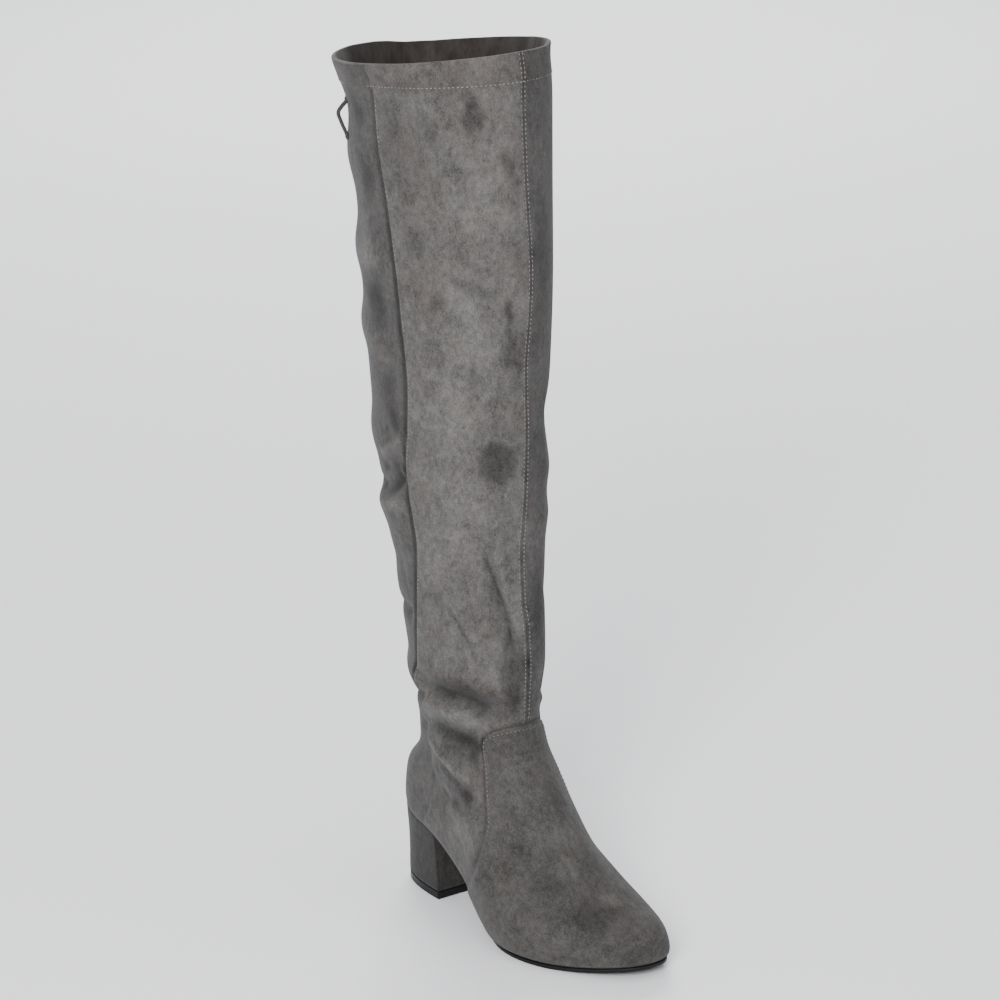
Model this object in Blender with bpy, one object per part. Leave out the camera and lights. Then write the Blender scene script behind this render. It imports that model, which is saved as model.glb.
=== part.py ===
"""Over-the-knee boot for the right foot, with a block heel and a zip on the inner side.

Frame: metres, +X to the toe, +Y to the inner (medial) side, +Z up, standing on z = 0.
The upper is one lofted shell. Each loop lies in a slanted plane from a point at the back to a
point at the front, and a table gives the two points and the half widths along the loop.
Every size in the tables is in millimetres and is turned into metres when a mesh is made.
"""
import math

import bmesh
import bpy
import numpy as np
from mathutils import Matrix, Vector

for old in list(bpy.data.objects):
    bpy.data.objects.remove(old, do_unlink=True)

MM = 0.001
CENTRE_X = 102.27        # middle of the whole boot's length, measured from the heel's zero
CENTRE_Y = 0.0           # middle of the whole boot's width
SMOOTH_ANGLE = math.radians(35.0)       # edges sharper than this stay crisp
NORMAL_STEP = 0.01       # step, in sections and radians, that measures the surface's slope
FRAME_STEP = 0.05        # step, in sections, that measures the direction up the shaft

# Upper: one row for each section, from the sole's edge to the collar.
# back and front are the loop's two end points; heel, waist, ball and toe are half widths along it;
# inflare turns the front to the inner side; arch narrows the inner waist; follow is how far the
# loop takes the sole's line; blunt rounds the toe (2 is an ellipse).
SECTION_COLUMNS = ("back_x", "back_z", "front_x", "front_z", "heel", "waist", "ball", "toe",
                   "inflare", "arch", "follow", "blunt")
SECTIONS = {
    "feather":    (-6.3, 58.0, 238.5, 8.0, 45.2, 29.5, 44.3, 39.0, 21.0, 5.0, 1.00, 2.35),
    "welt":       (-7.8, 66.0, 243.5, 16.0, 46.0, 33.5, 47.8, 41.5, 21.0, 4.0, 0.90, 2.30),
    "toe_box":    (-7.0, 79.5, 240.5, 30.0, 46.0, 35.5, 48.3, 41.0, 18.0, 3.0, 0.70, 2.20),
    "vamp_low":   (-4.0, 92.5, 218.0, 41.0, 44.5, 35.5, 44.0, 37.5, 15.0, 2.0, 0.50, 2.15),
    "vamp_mid":   (2.0, 105.0, 191.0, 54.0, 41.0, 35.5, 40.5, 34.0, 9.5, 1.0, 0.30, 2.10),
    "instep":     (9.0, 118.5, 167.0, 76.0, 37.5, 35.5, 38.5, 32.5, 6.0, 0.0, 0.15, 2.05),
    "instep_top": (13.5, 132.5, 148.0, 98.0, 35.0, 35.6, 37.5, 32.0, 3.0, 0.0, 0.05, 2.00),
    "throat":     (13.5, 148.5, 131.0, 124.0, 33.5, 35.2, 36.5, 32.5, 0.0, 0.0, 0.00, 2.00),
    "ankle":      (9.0, 166.0, 123.5, 156.0, 34.5, 36.4, 36.4, 35.0, 0.0, 0.0, 0.00, 2.00),
    "shin":       (3.5, 204.0, 124.5, 204.5, 39.0, 41.0, 41.0, 40.0, 0.0, 0.0, 0.00, 2.00),
    "low_calf":   (-7.5, 270.0, 125.0, 271.5, 46.0, 47.0, 47.0, 46.0, 0.0, 0.0, 0.00, 2.00),
    "calf":       (-20.0, 347.5, 127.5, 351.0, 50.0, 51.0, 51.0, 50.0, 0.0, 0.0, 0.00, 2.00),
    "knee":       (-27.5, 436.0, 133.5, 442.0, 53.4, 54.4, 54.4, 53.4, 0.0, 0.0, 0.00, 2.00),
    "thigh":      (-31.0, 513.5, 133.0, 523.0, 55.7, 56.7, 56.7, 55.7, 0.0, 0.0, 0.00, 2.00),
    "hem":        (-34.5, 569.0, 129.5, 582.5, 60.2, 61.2, 61.2, 60.2, 0.0, 0.0, 0.00, 2.00),
    "collar":     (-40.0, 589.0, 124.0, 607.0, 67.0, 68.0, 68.0, 67.0, 0.0, 0.0, 0.00, 2.00),
}
WIDTH_AT = (0.0, 0.39, 0.69, 1.0)       # where heel, waist, ball and toe sit along a loop
INFLARE_FROM = 0.45

UPPER_COLUMNS = 48
COLUMN_EVENING = 0.30                   # draws the loop's points from its ends to its sides
UPPER_ROWS = (0.0, 0.15, 0.3, 0.6, 1.0, 1.4, 1.8, 2.2, 2.6, 3.0, 3.5, 4.0, 4.5, 5.0, 5.5, 6.0, 6.5,
              7.0, 7.4, 7.8, 8.2, 8.6, 9.0, 9.5, 10.0, 10.5, 11.0, 11.6, 12.2, 12.8, 13.2, 13.5,
              13.8, 14.1, 14.24, 14.28, 14.65, 15.0)
HEM_ROW = 14.26
HEM_STEP = 0.8
WALL = 2.2
RIM_ROUND = 0.9
GAP = 0.3

# Sole: the line that the upper's lower edge follows, as a height over x.
SOLE_TOP = 3.3
SEAT_BACK = 58.5
SEAT_FALL = 0.11
SHANK_FROM = 40.0
BALL_FROM = 150.0
BALL_TO = 184.0
TOE_SPRING = 7.0
TOE_SPRING_AT = 245.0
TOE_SPRING_POWER = 1.7
SOLE_INSET = 0.6
WAIST_INSET = 4.0
INSET_FROM = 95.0        # the edge comes out from the waist to the ball between these two
INSET_TO = 140.0
THICKEN_FROM = 105.0     # the sole thickens from here to the ball
UPRIGHT_SHARE = 0.55     # share of the sole's side that stands upright above its undercut
CORNER_CLEAR = 1.0       # grid points nearer than this to the breast are left out
SOLE_UNDERCUT = 1.4
WAIST_THICKNESS = 2.0
INSOLE_THICKNESS = 2.5
INSOLE_GAP = 0.4

# Heel block and its top piece.
BREAST_X = 54.8
HEEL_LENGTH = 56.0
HEEL_HALF_WIDTH = 26.8
HEEL_ROUND = 2.8
LIFT_HEIGHT = 5.6
HEEL_ROWS = 5
HEEL_STEPS = 400         # steps that measure the lower outline's length
LIFT_INSET = 0.15

# Vamp: the edge of the overlay in side view, from the sole up the quarter and over the instep.
VAMP_EDGE = ((88.0, 16.0), (99.0, 28.0), (111.0, 38.5), (120.0, 50.0), (125.0, 63.0), (126.0, 76.0),
             (124.0, 89.0), (119.5, 103.0), (115.5, 116.0), (112.0, 128.0), (110.0, 137.0),
             (110.8, 140.6), (114.0, 142.6), (124.0, 147.0), (140.0, 153.0))
VAMP_FAR = ((300.0, 200.0), (300.0, -40.0), (88.0, -40.0))      # closes the outline past the toe
VAMP_STEPS = 44
VAMP_ROWS = (0.3, 8.6)
VAMP_THICKNESS = 1.2
WHOLE_WIDTH = (-90.0, 90.0)
INNER_SIDE = (5.0, 90.0)
CORE_BELOW = 2           # grid rows by which an overlay's core runs past it
CORE_ABOVE = 1

# Zip: its middle line in side view, from the slider's top to the sole.
ZIP_LINE = ((57.0, 275.0), (57.5, 262.0), (62.0, 247.0), (68.0, 233.0), (69.0, 220.0), (65.0, 204.0),
            (57.5, 188.0), (54.0, 172.0), (56.5, 156.0), (65.0, 143.5), (70.0, 131.0), (67.5, 116.0),
            (62.5, 98.0), (60.0, 80.0), (61.0, 63.0), (62.0, 55.0))
ZIP_STEPS = 30
ZIP_ROWS = (0.6, 10.5)
TAPE_HALF_WIDTH = 4.2
TAPE_THICKNESS = 0.8
COIL_HALF_WIDTH = 1.6
COIL_THICKNESS = 0.9

# Slider and pull: sizes across the zip (w), along it (t, up) and out of the shaft (n).
SLIDER_SECTION = 9.955
SLIDER_ANGLE = math.radians(271.6)
BODY_PLAN = ((-4.0, 6.0), (-4.2, 1.0), (-3.0, -6.0), (3.0, -6.0), (4.2, 1.0), (4.0, 6.0))
BODY_BASE = 2.6
BODY_TOP = 5.4
CROWN_HALF_WIDTH = 0.9
CROWN_FOOT = (2.6, 4.2)
CROWN_INNER = 8.0
CROWN_TOP = 8.9
CROWN_CORNER = 0.9
CROWN_SINK = 0.4
PIVOT_T = -1.2
PIVOT_N = 6.7
BAR_HALF = 0.65
PULL_HALF_THICKNESS = 0.6
PULL_HALF_WIDTH = 2.6
PULL_WINDOW = (1.5, -7.5)
WINDOW_REACH = 1.0
PULL_PLAN = ((-2.6, -8.6), (-2.2, -10.5), (-2.5, -26.0), (-1.7, -27.5), (1.7, -27.5), (2.5, -26.0),
             (2.2, -10.5), (2.6, -8.6))

# Back loop: a sewn strip, given along the shaft (t, up) and out of it (n).
LOOP_SECTION = 13.62
LOOP_ANGLE = math.radians(57.0)
LOOP_LINE = ((13.5, 1.2), (10.8, 1.3), (9.0, 2.4), (6.8, 4.6), (4.6, 6.3), (2.6, 6.6), (0.2, 5.9),
             (-4.0, 4.4), (-8.2, 2.7), (-11.2, 1.5), (-14.5, 1.2))
LOOP_STEPS = 21
LOOP_HALF_WIDTH = 2.0
LOOP_HALF_THICKNESS = 0.8

TABLE = np.array(list(SECTIONS.values()))
LAST = len(TABLE) - 1


def ease(start, end, x):
    """Smooth step: zero before start, one after end."""
    t = np.clip((x - start) / (end - start), 0.0, 1.0)
    return t * t * (3.0 - 2.0 * t)


def sole_line(x):
    """Height of the upper's lower edge: a sloping seat, a shank, a flat ball and a rising toe."""
    seat = SEAT_BACK - SEAT_FALL * np.clip(x, 0.0, None)
    z = SOLE_TOP + (seat - SOLE_TOP) * (1.0 - ease(SHANK_FROM, BALL_FROM, x))
    rise = np.clip((x - BALL_TO) / (TOE_SPRING_AT - BALL_TO), 0.0, None)
    return z + TOE_SPRING * rise ** TOE_SPRING_POWER


def hermite(t, a, b, slope_a, slope_b):
    """Cubic from a to b with the slopes at both ends."""
    return ((1 + 2 * t) * (1 - t) ** 2 * a + t * (1 - t) ** 2 * slope_a
            + t * t * (3 - 2 * t) * b + t * t * (t - 1) * slope_b)


def through(points, count):
    """Evenly stepped smooth line through the points of a table."""
    points = np.array(points, float)
    slope = np.gradient(points, axis=0)
    u = np.linspace(0, len(points) - 1, count)
    i = np.clip(u.astype(int), 0, len(points) - 2)
    return hermite((u - i)[:, None], points[i], points[i + 1], slope[i], slope[i + 1])


def section(s):
    """The table's columns at section number s, smooth between the rows."""
    slope = np.gradient(TABLE, axis=0)
    i = np.clip(np.floor(s).astype(int), 0, LAST - 1)
    row = hermite((s - i)[..., None], TABLE[i], TABLE[i + 1], slope[i], slope[i + 1])
    return dict(zip(SECTION_COLUMNS, np.moveaxis(row, -1, 0)))


def half_width(q, heel, waist, ball, toe):
    """Half width at the share q of a loop's length, smooth through its four values."""
    flat = np.zeros_like(q)
    at_heel, at_waist, at_ball, at_toe = WIDTH_AT
    waist_slope = (ball - heel) / (at_ball - at_heel)
    ball_slope = (toe - waist) / (at_toe - at_waist)
    spans = ((at_heel, at_waist, heel, waist, flat, waist_slope),
             (at_waist, at_ball, waist, ball, waist_slope, ball_slope),
             (at_ball, at_toe, ball, toe, ball_slope, flat))
    width = flat
    for start, end, a, b, slope_a, slope_b in spans:
        t = np.clip((q - start) / (end - start), 0.0, 1.0)
        value = hermite(t, a, b, slope_a * (end - start), slope_b * (end - start))
        width = np.where((q >= start) & (q <= end), value, width)
    return width


def upper_point(s, angle):
    """Outer surface: section number s, angle 0 at the back, a quarter turn at the outer side."""
    s, angle = np.broadcast_arrays(np.asarray(s, float), np.asarray(angle, float))
    row = section(s)
    side = np.sin(angle)
    q = (1 - np.cos(angle)) / 2
    x = row["back_x"] + (row["front_x"] - row["back_x"]) * q
    z = row["back_z"] + (row["front_z"] - row["back_z"]) * q
    chord = TABLE[0, 1] + (TABLE[0, 3] - TABLE[0, 1]) * q
    z = z + row["follow"] * (sole_line(x) - chord)
    waist = row["waist"] - (side < 0) * row["arch"]
    width = half_width(q, row["heel"], waist, row["ball"], row["toe"])
    ahead = np.clip(-np.cos(angle), 0.0, 1.0)
    front_bow = np.clip(1 - ahead ** row["blunt"], 0.0, 1.0) ** (1 / row["blunt"])
    bow = np.where(ahead > 0, front_bow, np.abs(side))
    turn = row["inflare"] * np.clip((q - INFLARE_FROM) / (1 - INFLARE_FROM), 0.0, None) ** 2
    return np.stack([x, turn - np.sign(side) * bow * width, z], -1)


def upper_normal(s, angle):
    """Outward direction of the surface, from small steps both ways."""
    s, angle = np.broadcast_arrays(np.asarray(s, float), np.asarray(angle, float))
    above = np.clip(s + NORMAL_STEP, 0, LAST)
    below = np.clip(s - NORMAL_STEP, 0, LAST)
    along = upper_point(above, angle) - upper_point(below, angle)
    around = upper_point(s, angle + NORMAL_STEP) - upper_point(s, angle - NORMAL_STEP)
    out = np.cross(around, along)
    return out / np.linalg.norm(out, axis=-1, keepdims=True)


def column_angles():
    """Angles of the loop's points, evened out along its length and alike on both sides."""
    u = np.arange(UPPER_COLUMNS // 2 + 1) / (UPPER_COLUMNS // 2)
    half = math.pi * (u + COLUMN_EVENING * np.sin(2 * math.pi * u) / (2 * math.pi))
    return np.concatenate([half, 2 * math.pi - half[-2:0:-1]])


ANGLES = column_angles()
ROWS = np.array(UPPER_ROWS)
GRID = upper_point(ROWS[:, None], ANGLES[None])
NORMALS = upper_normal(ROWS[:, None], ANGLES[None])
EDGE_X, _, EDGE_Z = GRID[0, :UPPER_COLUMNS // 2 + 1].T       # the lower edge's height over x


def flat_inset(loop, distance):
    """A loop moved inwards in plan."""
    along = np.roll(loop, -1, axis=0) - np.roll(loop, 1, axis=0)
    inward = np.stack([along[:, 1], -along[:, 0]], -1)
    inward = inward / np.linalg.norm(inward, axis=1, keepdims=True)
    middle = loop[:, :2].mean(axis=0)
    if ((middle - loop[:, :2]) * inward).sum() < 0:
        inward = -inward
    moved = loop.copy()
    moved[:, :2] += inward * np.reshape(distance, (-1, 1))
    return moved


def band(first, second, count):
    """Triangles between two rings of the same count."""
    faces = []
    for j in range(count):
        k = (j + 1) % count
        faces.append((first + j, first + k, second + k))
        faces.append((first + j, second + k, second + j))
    return faces


def lid(start, count):
    """Triangles over a ring, in strips from side to side."""
    half = count // 2
    faces = [(start, start + 1, start + count - 1)]
    for j in range(1, half - 1):
        a, b = start + j, start + j + 1
        c, d = start + count - j - 1, start + count - j
        faces.append((a, b, c))
        faces.append((a, c, d))
    faces.append((start + half - 1, start + half, start + half + 1))
    return faces


def prism_faces(count):
    """Faces of a prism whose two outlines follow each other in the list of points."""
    ends = [tuple(range(count)), tuple(range(2 * count - 1, count - 1, -1))]
    return ends + [(j, (j + 1) % count, count + (j + 1) % count, count + j) for j in range(count)]


def open_lid(start, count):
    """Triangles over an outline whose two ends are the corners of a straight side."""
    half = count // 2
    faces = []
    for j in range(half - 1):
        a, b = start + j, start + j + 1
        c, d = start + count - 2 - j, start + count - 1 - j
        faces += [(a, b, c), (a, c, d)]
    faces.append((start + half - 1, start + half, start + half + 1))
    return faces


def make_object(name, points, faces, material):
    """A closed mesh from points in millimetres, with its normals outward."""
    points = (np.asarray(points, float) - (CENTRE_X, CENTRE_Y, 0.0)) * MM
    mesh = bpy.data.meshes.new(name)
    mesh.from_pydata([tuple(p) for p in points.tolist()], [], faces)
    work = bmesh.new()
    work.from_mesh(mesh)
    bmesh.ops.recalc_face_normals(work, faces=work.faces)
    work.to_mesh(mesh)
    work.free()
    item = bpy.data.objects.new(name, mesh)
    bpy.context.scene.collection.objects.link(item)
    if material:
        mesh.materials.append(material)
    return item


def make_material(name, colour, roughness, metallic=0.0):
    """One plain surface."""
    material = bpy.data.materials.new(name)
    material.use_nodes = True
    shader = material.node_tree.nodes["Principled BSDF"]
    shader.inputs["Base Color"].default_value = (*colour, 1.0)
    shader.inputs["Roughness"].default_value = roughness
    shader.inputs["Metallic"].default_value = metallic
    return material


def make_cutter(name, points, faces):
    """A helper form that stays out of the part."""
    item = make_object(name, points, faces, None)
    item.hide_render = True
    item.display_type = "WIRE"
    return item


def combine(item, tool, operation):
    """One exact boolean step, applied to the item."""
    step = item.modifiers.new(operation, "BOOLEAN")
    step.operation = operation
    step.solver = "EXACT"
    step.object = tool
    shaped = bpy.data.meshes.new_from_object(item.evaluated_get(bpy.context.evaluated_depsgraph_get()))
    item.modifiers.remove(step)
    before = item.data
    item.data = shaped
    shaped.name = item.name
    bpy.data.meshes.remove(before)


def drop(item):
    """Removes a helper form."""
    bpy.data.objects.remove(item, do_unlink=True)


def side_prism(name, outline, sides):
    """A side-view outline drawn through the boot from one y to another."""
    outline = np.asarray(outline, float)
    ends = [np.insert(outline, 1, y, axis=1) for y in sides]
    return make_cutter(name, np.vstack(ends), prism_faces(len(outline)))


def upper_form(name, offset, first_row, last_row, material=None):
    """A closed form of the upper's own surface, moved out by an offset."""
    rows = range(first_row, last_row + 1)
    points = (GRID + NORMALS * offset)[first_row:last_row + 1].reshape(-1, 3)
    faces = []
    for i in range(len(rows) - 1):
        faces += band(i * UPPER_COLUMNS, (i + 1) * UPPER_COLUMNS, UPPER_COLUMNS)
    faces += lid(0, UPPER_COLUMNS) + lid((len(rows) - 1) * UPPER_COLUMNS, UPPER_COLUMNS)
    return make_object(name, points, faces, material)


def overlay(name, inner, outer, rows, outline, sides, material):
    """A patch of even thickness on the upper, cut to a side-view outline."""
    first, last = [row_of(s) for s in rows]
    item = upper_form(name, outer, first, last, material)
    core = upper_form("core_of_" + name, inner, first - CORE_BELOW, last + CORE_ABOVE)
    cutter = side_prism("outline_of_" + name, outline, sides)
    combine(item, core, "DIFFERENCE")
    combine(item, cutter, "INTERSECT")
    drop(core)
    drop(cutter)
    return item


def row_of(s):
    """Number of the grid row at section number s."""
    return int(np.argmin(np.abs(ROWS - s)))


def local_frame(s, angle):
    """A point of the surface with its directions across, up along and out of the shaft."""
    origin = upper_point(s, angle)
    out = upper_normal(s, angle)
    up = upper_point(s + FRAME_STEP, angle) - upper_point(s - FRAME_STEP, angle)
    up = up - out * (up @ out)
    up = up / np.linalg.norm(up)
    return origin, np.cross(up, out), up, out


def placed(frame, local):
    """Points given across, along and out, moved to their place on the shaft."""
    origin, across, up, out = frame
    local = np.asarray(local, float)
    return origin + local[:, :1] * across + local[:, 1:2] * up + local[:, 2:] * out


def plate(plan, low, high):
    """Local points and faces of a flat outline between two heights."""
    return [(w, t, n) for n in (low, high) for w, t in plan], prism_faces(len(plan))


def build_upper(material):
    """The shell: outer face with its hem step, inner face, lower edge and rounded rim."""
    lift = np.where(ROWS > HEM_ROW, HEM_STEP, 0.0)[:, None, None]
    outer = GRID + NORMALS * lift
    inner = GRID - NORMALS * WALL
    foot = flat_inset(GRID[0], WALL)
    foot[:, 2] = np.interp(foot[:, 0], EDGE_X, EDGE_Z)
    inner[0] = foot
    along = GRID[-1] - GRID[-2]
    along = along / np.linalg.norm(along, axis=1, keepdims=True)
    rim = GRID[-1] + NORMALS[-1] * (HEM_STEP - WALL) / 2 + along * RIM_ROUND
    count = len(ROWS)
    points = np.vstack([outer.reshape(-1, 3), inner.reshape(-1, 3), rim])
    start = count * UPPER_COLUMNS
    faces = band(0, start, UPPER_COLUMNS)
    for i in range(count - 1):
        faces += band(i * UPPER_COLUMNS, (i + 1) * UPPER_COLUMNS, UPPER_COLUMNS)
        faces += band(start + i * UPPER_COLUMNS, start + (i + 1) * UPPER_COLUMNS, UPPER_COLUMNS)
    faces += band((count - 1) * UPPER_COLUMNS, 2 * start, UPPER_COLUMNS)
    faces += band(start + (count - 1) * UPPER_COLUMNS, 2 * start, UPPER_COLUMNS)
    return make_object("upper", points, faces, material)


def build_insole(material):
    """A flat board inside the upper's lower edge."""
    loop = flat_inset(GRID[0], WALL + INSOLE_GAP)
    loop[:, 2] = np.interp(loop[:, 0], EDGE_X, EDGE_Z)
    top = loop + (0.0, 0.0, INSOLE_THICKNESS)
    faces = lid(0, UPPER_COLUMNS) + lid(UPPER_COLUMNS, UPPER_COLUMNS) + band(0, UPPER_COLUMNS, UPPER_COLUMNS)
    return make_object("insole", np.vstack([loop, top]), faces, material)


def edge_at(x, side):
    """The lower edge's y at one x, straight between the grid's points."""
    half = UPPER_COLUMNS // 2
    loop = GRID[0, :half + 1] if side < 0 else np.vstack([GRID[0, :1], GRID[0, :half - 1:-1]])
    return np.interp(x, loop[:, 0], loop[:, 1])


def sole_thickness(x):
    """Thickness of the sole: thin under the waist, full from the ball on."""
    return WAIST_THICKNESS + (SOLE_TOP - GAP - WAIST_THICKNESS) * ease(THICKEN_FROM, BALL_FROM, x)


def build_outsole(material):
    """The sole from the heel's breast to the toe, flat under the ball."""
    start = BREAST_X + GAP
    half = UPPER_COLUMNS // 2
    ahead = GRID[0, (EDGE_X > start + CORNER_CLEAR).nonzero()[0]]
    xs = np.concatenate([[start], ahead[:-1, 0]])
    inset = WAIST_INSET + (SOLE_INSET - WAIST_INSET) * ease(INSET_FROM, INSET_TO, xs)
    outer_y = np.array([edge_at(x, -1) for x in xs]) + inset
    inner_y = np.array([edge_at(x, 1) for x in xs]) - inset
    tip = GRID[0, half] - (SOLE_INSET, 0.0, 0.0)
    ring_x = np.concatenate([xs, [tip[0]], xs[::-1]])
    ring_y = np.concatenate([outer_y, [tip[1]], inner_y[::-1]])
    top_z = np.interp(ring_x, EDGE_X, EDGE_Z) - GAP
    top = np.stack([ring_x, ring_y, top_z], -1)
    under = flat_inset(top, SOLE_UNDERCUT)
    under[[0, -1], 0] = start
    under[:, 2] = np.interp(under[:, 0], EDGE_X, EDGE_Z) - GAP - sole_thickness(under[:, 0])
    middle = top.copy()
    middle[:, 2] -= sole_thickness(ring_x) * UPRIGHT_SHARE
    count = len(top)
    faces = open_lid(0, count) + open_lid(2 * count, count)
    faces += band(0, count, count) + band(count, 2 * count, count)
    return make_object("outsole", np.vstack([top, middle, under]), faces, material)


def heel_foot(shares):
    """The heel's lower outline, from the outer breast corner round the back to the inner one."""
    turn = np.linspace(0.0, math.pi, HEEL_STEPS)
    x = BREAST_X - HEEL_LENGTH * np.sin(turn) ** (2 / HEEL_ROUND)
    y = -HEEL_HALF_WIDTH * np.sign(np.cos(turn)) * np.abs(np.cos(turn)) ** (2 / HEEL_ROUND)
    walk = np.concatenate([[0.0], np.cumsum(np.hypot(np.diff(x), np.diff(y)))])
    walk = walk / walk[-1]
    return np.stack([np.interp(shares, walk, x), np.interp(shares, walk, y)], -1)


def heel_outlines():
    """The heel in plan: the upper's lower edge above, and the rounded outline below it."""
    behind = GRID[0, (EDGE_X < BREAST_X - CORNER_CLEAR).nonzero()[0]]
    xs = np.concatenate([[BREAST_X], behind[::-1, 0]])
    outer = np.array([(x, edge_at(x, -1)) for x in xs])
    inner = np.array([(x, edge_at(x, 1)) for x in xs[-2::-1]])
    crown = np.vstack([outer, inner])
    walk = np.concatenate([[0.0], np.cumsum(np.hypot(*np.diff(crown, axis=0).T))])
    return crown, heel_foot(walk / walk[-1])


def build_heel(material):
    """The block: the upper's lower edge above, a rounded outline below, a flat breast in front."""
    crown, base = heel_outlines()
    top_z = np.interp(crown[:, 0], EDGE_X, EDGE_Z) - GAP
    count = len(crown)
    rings = []
    for share in np.linspace(0.0, 1.0, HEEL_ROWS):
        plan = base + (crown - base) * share
        z = LIFT_HEIGHT + GAP + (top_z - LIFT_HEIGHT - GAP) * share
        rings.append(np.column_stack([plan, z]))
    faces = []
    for i in range(HEEL_ROWS - 1):
        faces += band(i * count, (i + 1) * count, count)
    faces += open_lid((HEEL_ROWS - 1) * count, count) + open_lid(0, count)
    return make_object("heel", np.vstack(rings), faces, material)


def build_heel_lift(material):
    """The top piece: the heel's lower outline as a flat plate on the floor."""
    _, base = heel_outlines()
    count = len(base)
    plan = flat_inset(np.column_stack([base, np.zeros(count)]), LIFT_INSET)
    points = np.vstack([plan, plan + (0.0, 0.0, LIFT_HEIGHT)])
    faces = band(0, count, count) + open_lid(0, count) + open_lid(count, count)
    return make_object("heel_lift", points, faces, material)


def zip_band(half_width_mm):
    """Side-view outline of a strip along the zip's line."""
    line = through(ZIP_LINE, ZIP_STEPS)
    along = np.gradient(line, axis=0)
    along = along / np.linalg.norm(along, axis=1, keepdims=True)
    across = np.stack([along[:, 1], -along[:, 0]], -1) * half_width_mm
    return np.vstack([line + across, (line - across)[::-1]])


def build_slider(frame, material):
    """The slider's body with the bridge that holds the pull."""
    points, faces = plate(BODY_PLAN, BODY_BASE, BODY_TOP)
    item = make_object("zip_slider", placed(frame, points), faces, material)
    near, far = CROWN_FOOT
    foot = BODY_TOP - CROWN_SINK
    corner = far - CROWN_CORNER
    arch = ((-far, foot), (-far, CROWN_INNER), (-corner, CROWN_TOP), (corner, CROWN_TOP), (far, CROWN_INNER),
            (far, foot), (near, foot), (near, CROWN_INNER), (-near, CROWN_INNER), (-near, foot))
    local = [(w, t, n) for w in (-CROWN_HALF_WIDTH, CROWN_HALF_WIDTH) for t, n in arch]
    bridge = make_cutter("bridge", placed(frame, local), prism_faces(len(arch)))
    combine(item, bridge, "UNION")
    drop(bridge)
    return item


def build_pull(frame, material):
    """The pull tab: a crossbar under the bridge, two arms round a window, and the tab.

    Its origin is on the crossbar, which is its hinge.
    """
    low, high = PIVOT_N - PULL_HALF_THICKNESS, PIVOT_N + PULL_HALF_THICKNESS
    top = PIVOT_T + BAR_HALF
    plan = ((-PULL_HALF_WIDTH, top),) + PULL_PLAN + ((PULL_HALF_WIDTH, top),)
    points, faces = plate(plan, low, high)
    item = make_object("zip_pull", placed(frame, points), faces, material)
    window, end = PULL_WINDOW
    start = PIVOT_T - BAR_HALF
    hole_plan = ((-window, start), (-window, end), (window, end), (window, start))
    hole, hole_faces = plate(hole_plan, low - WINDOW_REACH, high + WINDOW_REACH)
    cutter = make_cutter("window", placed(frame, hole), hole_faces)
    combine(item, cutter, "DIFFERENCE")
    drop(cutter)
    pivot = (placed(frame, [(0.0, PIVOT_T, PIVOT_N)])[0] - (CENTRE_X, CENTRE_Y, 0.0)) * MM
    item.data.transform(Matrix.Translation(-Vector(pivot)))
    item.location = pivot
    return item


def build_back_loop(material):
    """A narrow strip sewn at both ends, standing off the back of the shaft between them."""
    frame = local_frame(np.float64(LOOP_SECTION), np.float64(LOOP_ANGLE))
    line = through(LOOP_LINE, LOOP_STEPS)
    along = np.gradient(line, axis=0)
    along = along / np.linalg.norm(along, axis=1, keepdims=True)
    off = np.stack([-along[:, 1], along[:, 0]], -1) * LOOP_HALF_THICKNESS
    local = []
    for (t, n), (dt, dn) in zip(line, off):
        for w, sign in ((-1, -1), (1, -1), (1, 1), (-1, 1)):
            local.append((w * LOOP_HALF_WIDTH, t + sign * dt, n + sign * dn))
    count = len(line)
    faces = [(0, 1, 2, 3), tuple(range(4 * count - 1, 4 * count - 5, -1))]
    for i in range(count - 1):
        faces += band(4 * i, 4 * i + 4, 4)
    return make_object("back_loop", placed(frame, local), faces, material)


suede = make_material("grey_suede", (0.205, 0.197, 0.192), 0.95)
overlay_suede = make_material("grey_suede_vamp", (0.185, 0.178, 0.172), 0.95)
heel_suede = make_material("grey_suede_heel", (0.170, 0.163, 0.158), 0.95)
board = make_material("dark_lining", (0.064, 0.055, 0.052), 0.90)
rubber = make_material("black_rubber", (0.012, 0.012, 0.012), 0.60)
lift_rubber = make_material("black_top_piece", (0.012, 0.012, 0.012), 0.55)
tape_cloth = make_material("grey_tape", (0.090, 0.086, 0.082), 0.90)
coil_nylon = make_material("dark_coil", (0.035, 0.033, 0.032), 0.50)
slider_metal = make_material("dark_metal", (0.30, 0.29, 0.28), 0.35, 1.0)
pull_metal = make_material("dark_metal_pull", (0.30, 0.29, 0.28), 0.35, 1.0)
loop_cloth = make_material("grey_loop", (0.070, 0.067, 0.064), 0.95)

build_upper(suede)
build_insole(board)
build_outsole(rubber)
build_heel(heel_suede)
build_heel_lift(lift_rubber)

vamp_outline = np.vstack([through(VAMP_EDGE, VAMP_STEPS), VAMP_FAR])
overlay("vamp", GAP, GAP + VAMP_THICKNESS, VAMP_ROWS, vamp_outline, WHOLE_WIDTH, overlay_suede)

tape_top = GAP + TAPE_THICKNESS
coil_base = tape_top + GAP
coil_top = coil_base + COIL_THICKNESS
overlay("zip_tape", GAP, tape_top, ZIP_ROWS, zip_band(TAPE_HALF_WIDTH), INNER_SIDE, tape_cloth)
overlay("zip_coil", coil_base, coil_top, ZIP_ROWS, zip_band(COIL_HALF_WIDTH), INNER_SIDE, coil_nylon)
zip_frame = local_frame(np.float64(SLIDER_SECTION), np.float64(SLIDER_ANGLE))
build_slider(zip_frame, slider_metal)
pull = build_pull(zip_frame, pull_metal)
build_back_loop(loop_cloth)

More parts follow.
